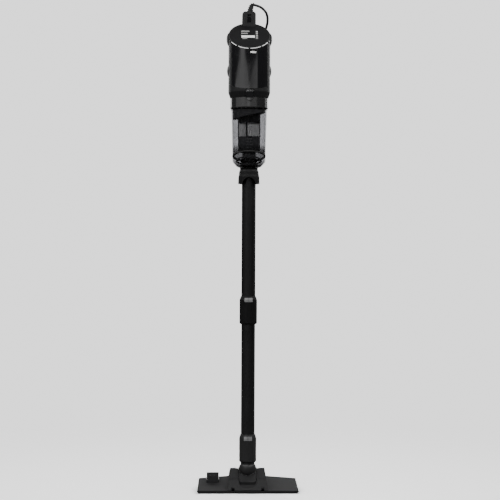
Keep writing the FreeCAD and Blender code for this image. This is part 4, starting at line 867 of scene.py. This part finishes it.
def make_floor():
    """A pale floor with a faint contact shadow that fades into the pale background."""
    bm = bmesh.new()
    bmesh.ops.create_grid(bm, x_segments=40, y_segments=40, size=FLOOR_SIZE)
    data = bpy.data.meshes.new("floor")
    bm.to_mesh(data)
    bm.free()
    floor = link(bpy.data.objects.new("floor", data))
    s = Shader("floor_pale")
    to_camera = camera_rays(s.tree)
    grain = s.spread(s.noise(240.0, 3.0), 0.3, 0.7, 0.985, 1.0)
    paint = s.add("ShaderNodeBsdfDiffuse")
    bright = s.add("ShaderNodeMapRange")
    s.join(to_camera, bright.inputs["Value"])
    bright.inputs["To Min"].default_value = FLOOR_PALE
    bright.inputs["To Max"].default_value = FLOOR_LIFT
    tone = s.add("ShaderNodeCombineColor")
    level = s.maths("MULTIPLY", bright.outputs["Result"], grain)
    for channel in range(3):
        s.join(level, tone.inputs[channel])
    s.join(tone.outputs[0], paint.inputs["Color"])
    glow = s.add("ShaderNodeEmission")
    glow.inputs["Color"].default_value = (1.0, 1.0, 1.0, 1.0)
    glow.inputs["Strength"].default_value = BACKGROUND
    distance = s.add("ShaderNodeVectorMath", operation="LENGTH")
    s.join(s.coords, distance.inputs[0])
    fade = s.spread(distance.outputs["Value"], FADE_START, FADE_END, 0.0, 1.0)
    mix = s.add("ShaderNodeMixShader")
    s.join(s.maths("MULTIPLY", fade, to_camera), mix.inputs["Fac"])
    s.join(paint.outputs[0], mix.inputs[1])
    s.join(glow.outputs[0], mix.inputs[2])
    s.join(mix.outputs[0], s.output.inputs["Surface"])
    data.materials.append(s.material)


def make_world():
    """Pale behind the cleaner; for light and reflections a dim room with soft bright cards in it."""
    world = bpy.data.worlds.new("studio")
    world.use_nodes = True
    tree = world.node_tree
    tree.nodes.clear()

    def maths(operation, a, b=0.0):
        node = tree.nodes.new("ShaderNodeMath")
        node.operation = operation
        for source, target in zip((a, b), node.inputs):
            if isinstance(source, (int, float)):
                target.default_value = source
            else:
                tree.links.new(source, target)
        return node.outputs[0]

    def step(value, edge, soft):
        node = tree.nodes.new("ShaderNodeMapRange")
        node.interpolation_type = "SMOOTHSTEP"
        shifted = maths("SUBTRACT", value, edge)
        tree.links.new(shifted, node.inputs["Value"])
        node.inputs["From Min"].default_value = -soft
        node.inputs["From Max"].default_value = soft
        return node.outputs["Result"]

    coords = tree.nodes.new("ShaderNodeTexCoord")
    parts = tree.nodes.new("ShaderNodeSeparateXYZ")
    tree.links.new(coords.outputs["Generated"], parts.inputs[0])
    towards_front = maths("MULTIPLY", parts.outputs["Y"], -1.0)
    azimuth = maths("DEGREES", maths("ARCTAN2", parts.outputs["X"], towards_front))
    elevation = maths("DEGREES", maths("ARCSINE", parts.outputs["Z"]))
    radiance = maths("ADD", ROOM, 0.0)
    for left, left_lean, right, right_lean, low, high, soft, power in CARDS:
        held = maths("MINIMUM", maths("MAXIMUM", elevation, LEAN_LOW), LEAN_HIGH)
        from_level = maths("SUBTRACT", held, LEAN_LEVEL)
        left_edge = maths("ADD", maths("MULTIPLY", from_level, left_lean), left)
        right_edge = maths("ADD", maths("MULTIPLY", from_level, right_lean), right)
        inside = step(azimuth, left_edge, soft)
        inside = maths("MULTIPLY", inside, maths("SUBTRACT", 1.0, step(azimuth, right_edge, soft)))
        inside = maths("MULTIPLY", inside, step(elevation, low, soft * 0.5))
        inside = maths("MULTIPLY", inside, maths("SUBTRACT", 1.0, step(elevation, high, soft * 0.5)))
        radiance = maths("ADD", radiance, maths("MULTIPLY", inside, power))
    to_camera = camera_rays(tree)
    seen = tree.nodes.new("ShaderNodeBackground")
    seen.inputs["Strength"].default_value = BACKGROUND
    lit = tree.nodes.new("ShaderNodeBackground")
    tree.links.new(radiance, lit.inputs["Strength"])
    for shade in (seen, lit):
        shade.inputs["Color"].default_value = (1.0, 1.0, 1.0, 1.0)
    mix = tree.nodes.new("ShaderNodeMixShader")
    tree.links.new(to_camera, mix.inputs["Fac"])
    tree.links.new(lit.outputs[0], mix.inputs[1])
    tree.links.new(seen.outputs[0], mix.inputs[2])
    output = tree.nodes.new("ShaderNodeOutputWorld")
    tree.links.new(mix.outputs[0], output.inputs["Surface"])
    bpy.context.scene.world = world


def softbox(name, azimuth, distance, height, width, tall, radiance, aim=(0, 0, 0.95), roll=0.0):
    """A rectangular light; azimuth 0 is the front and 90 the right."""
    data = bpy.data.lights.new(name, "AREA")
    data.shape = "RECTANGLE"
    data.size = width
    data.size_y = tall
    data.energy = math.pi * width * tall * radiance
    light = link(bpy.data.objects.new(name, data))
    turn = math.radians(azimuth)
    light.location = (distance * math.sin(turn), -distance * math.cos(turn), height)
    look = (light.location - Vector(aim)).to_track_quat("Z", "Y").to_matrix().to_4x4()
    light.rotation_euler = (look @ Matrix.Rotation(math.radians(roll), 4, "Z")).to_euler()
    light.visible_camera = False


make_floor()
make_world()
for side, (turned_to, height) in enumerate(RIM_STRIPS):
    softbox(f"rim_strip_{side}", turned_to, 1.7, height, 1.75, 0.24, 16.0)
for side, turned_to in enumerate(REAR_FILLS):
    softbox(f"rear_fill_{side}", turned_to, 2.3, 1.9, 1.1, 1.8, 3.2, aim=(0, 0, 0.7))
softbox("low_fill", 0, 2.4, 2.2, 2.2, 0.8, 0.7, aim=(0, 0, 0.1))
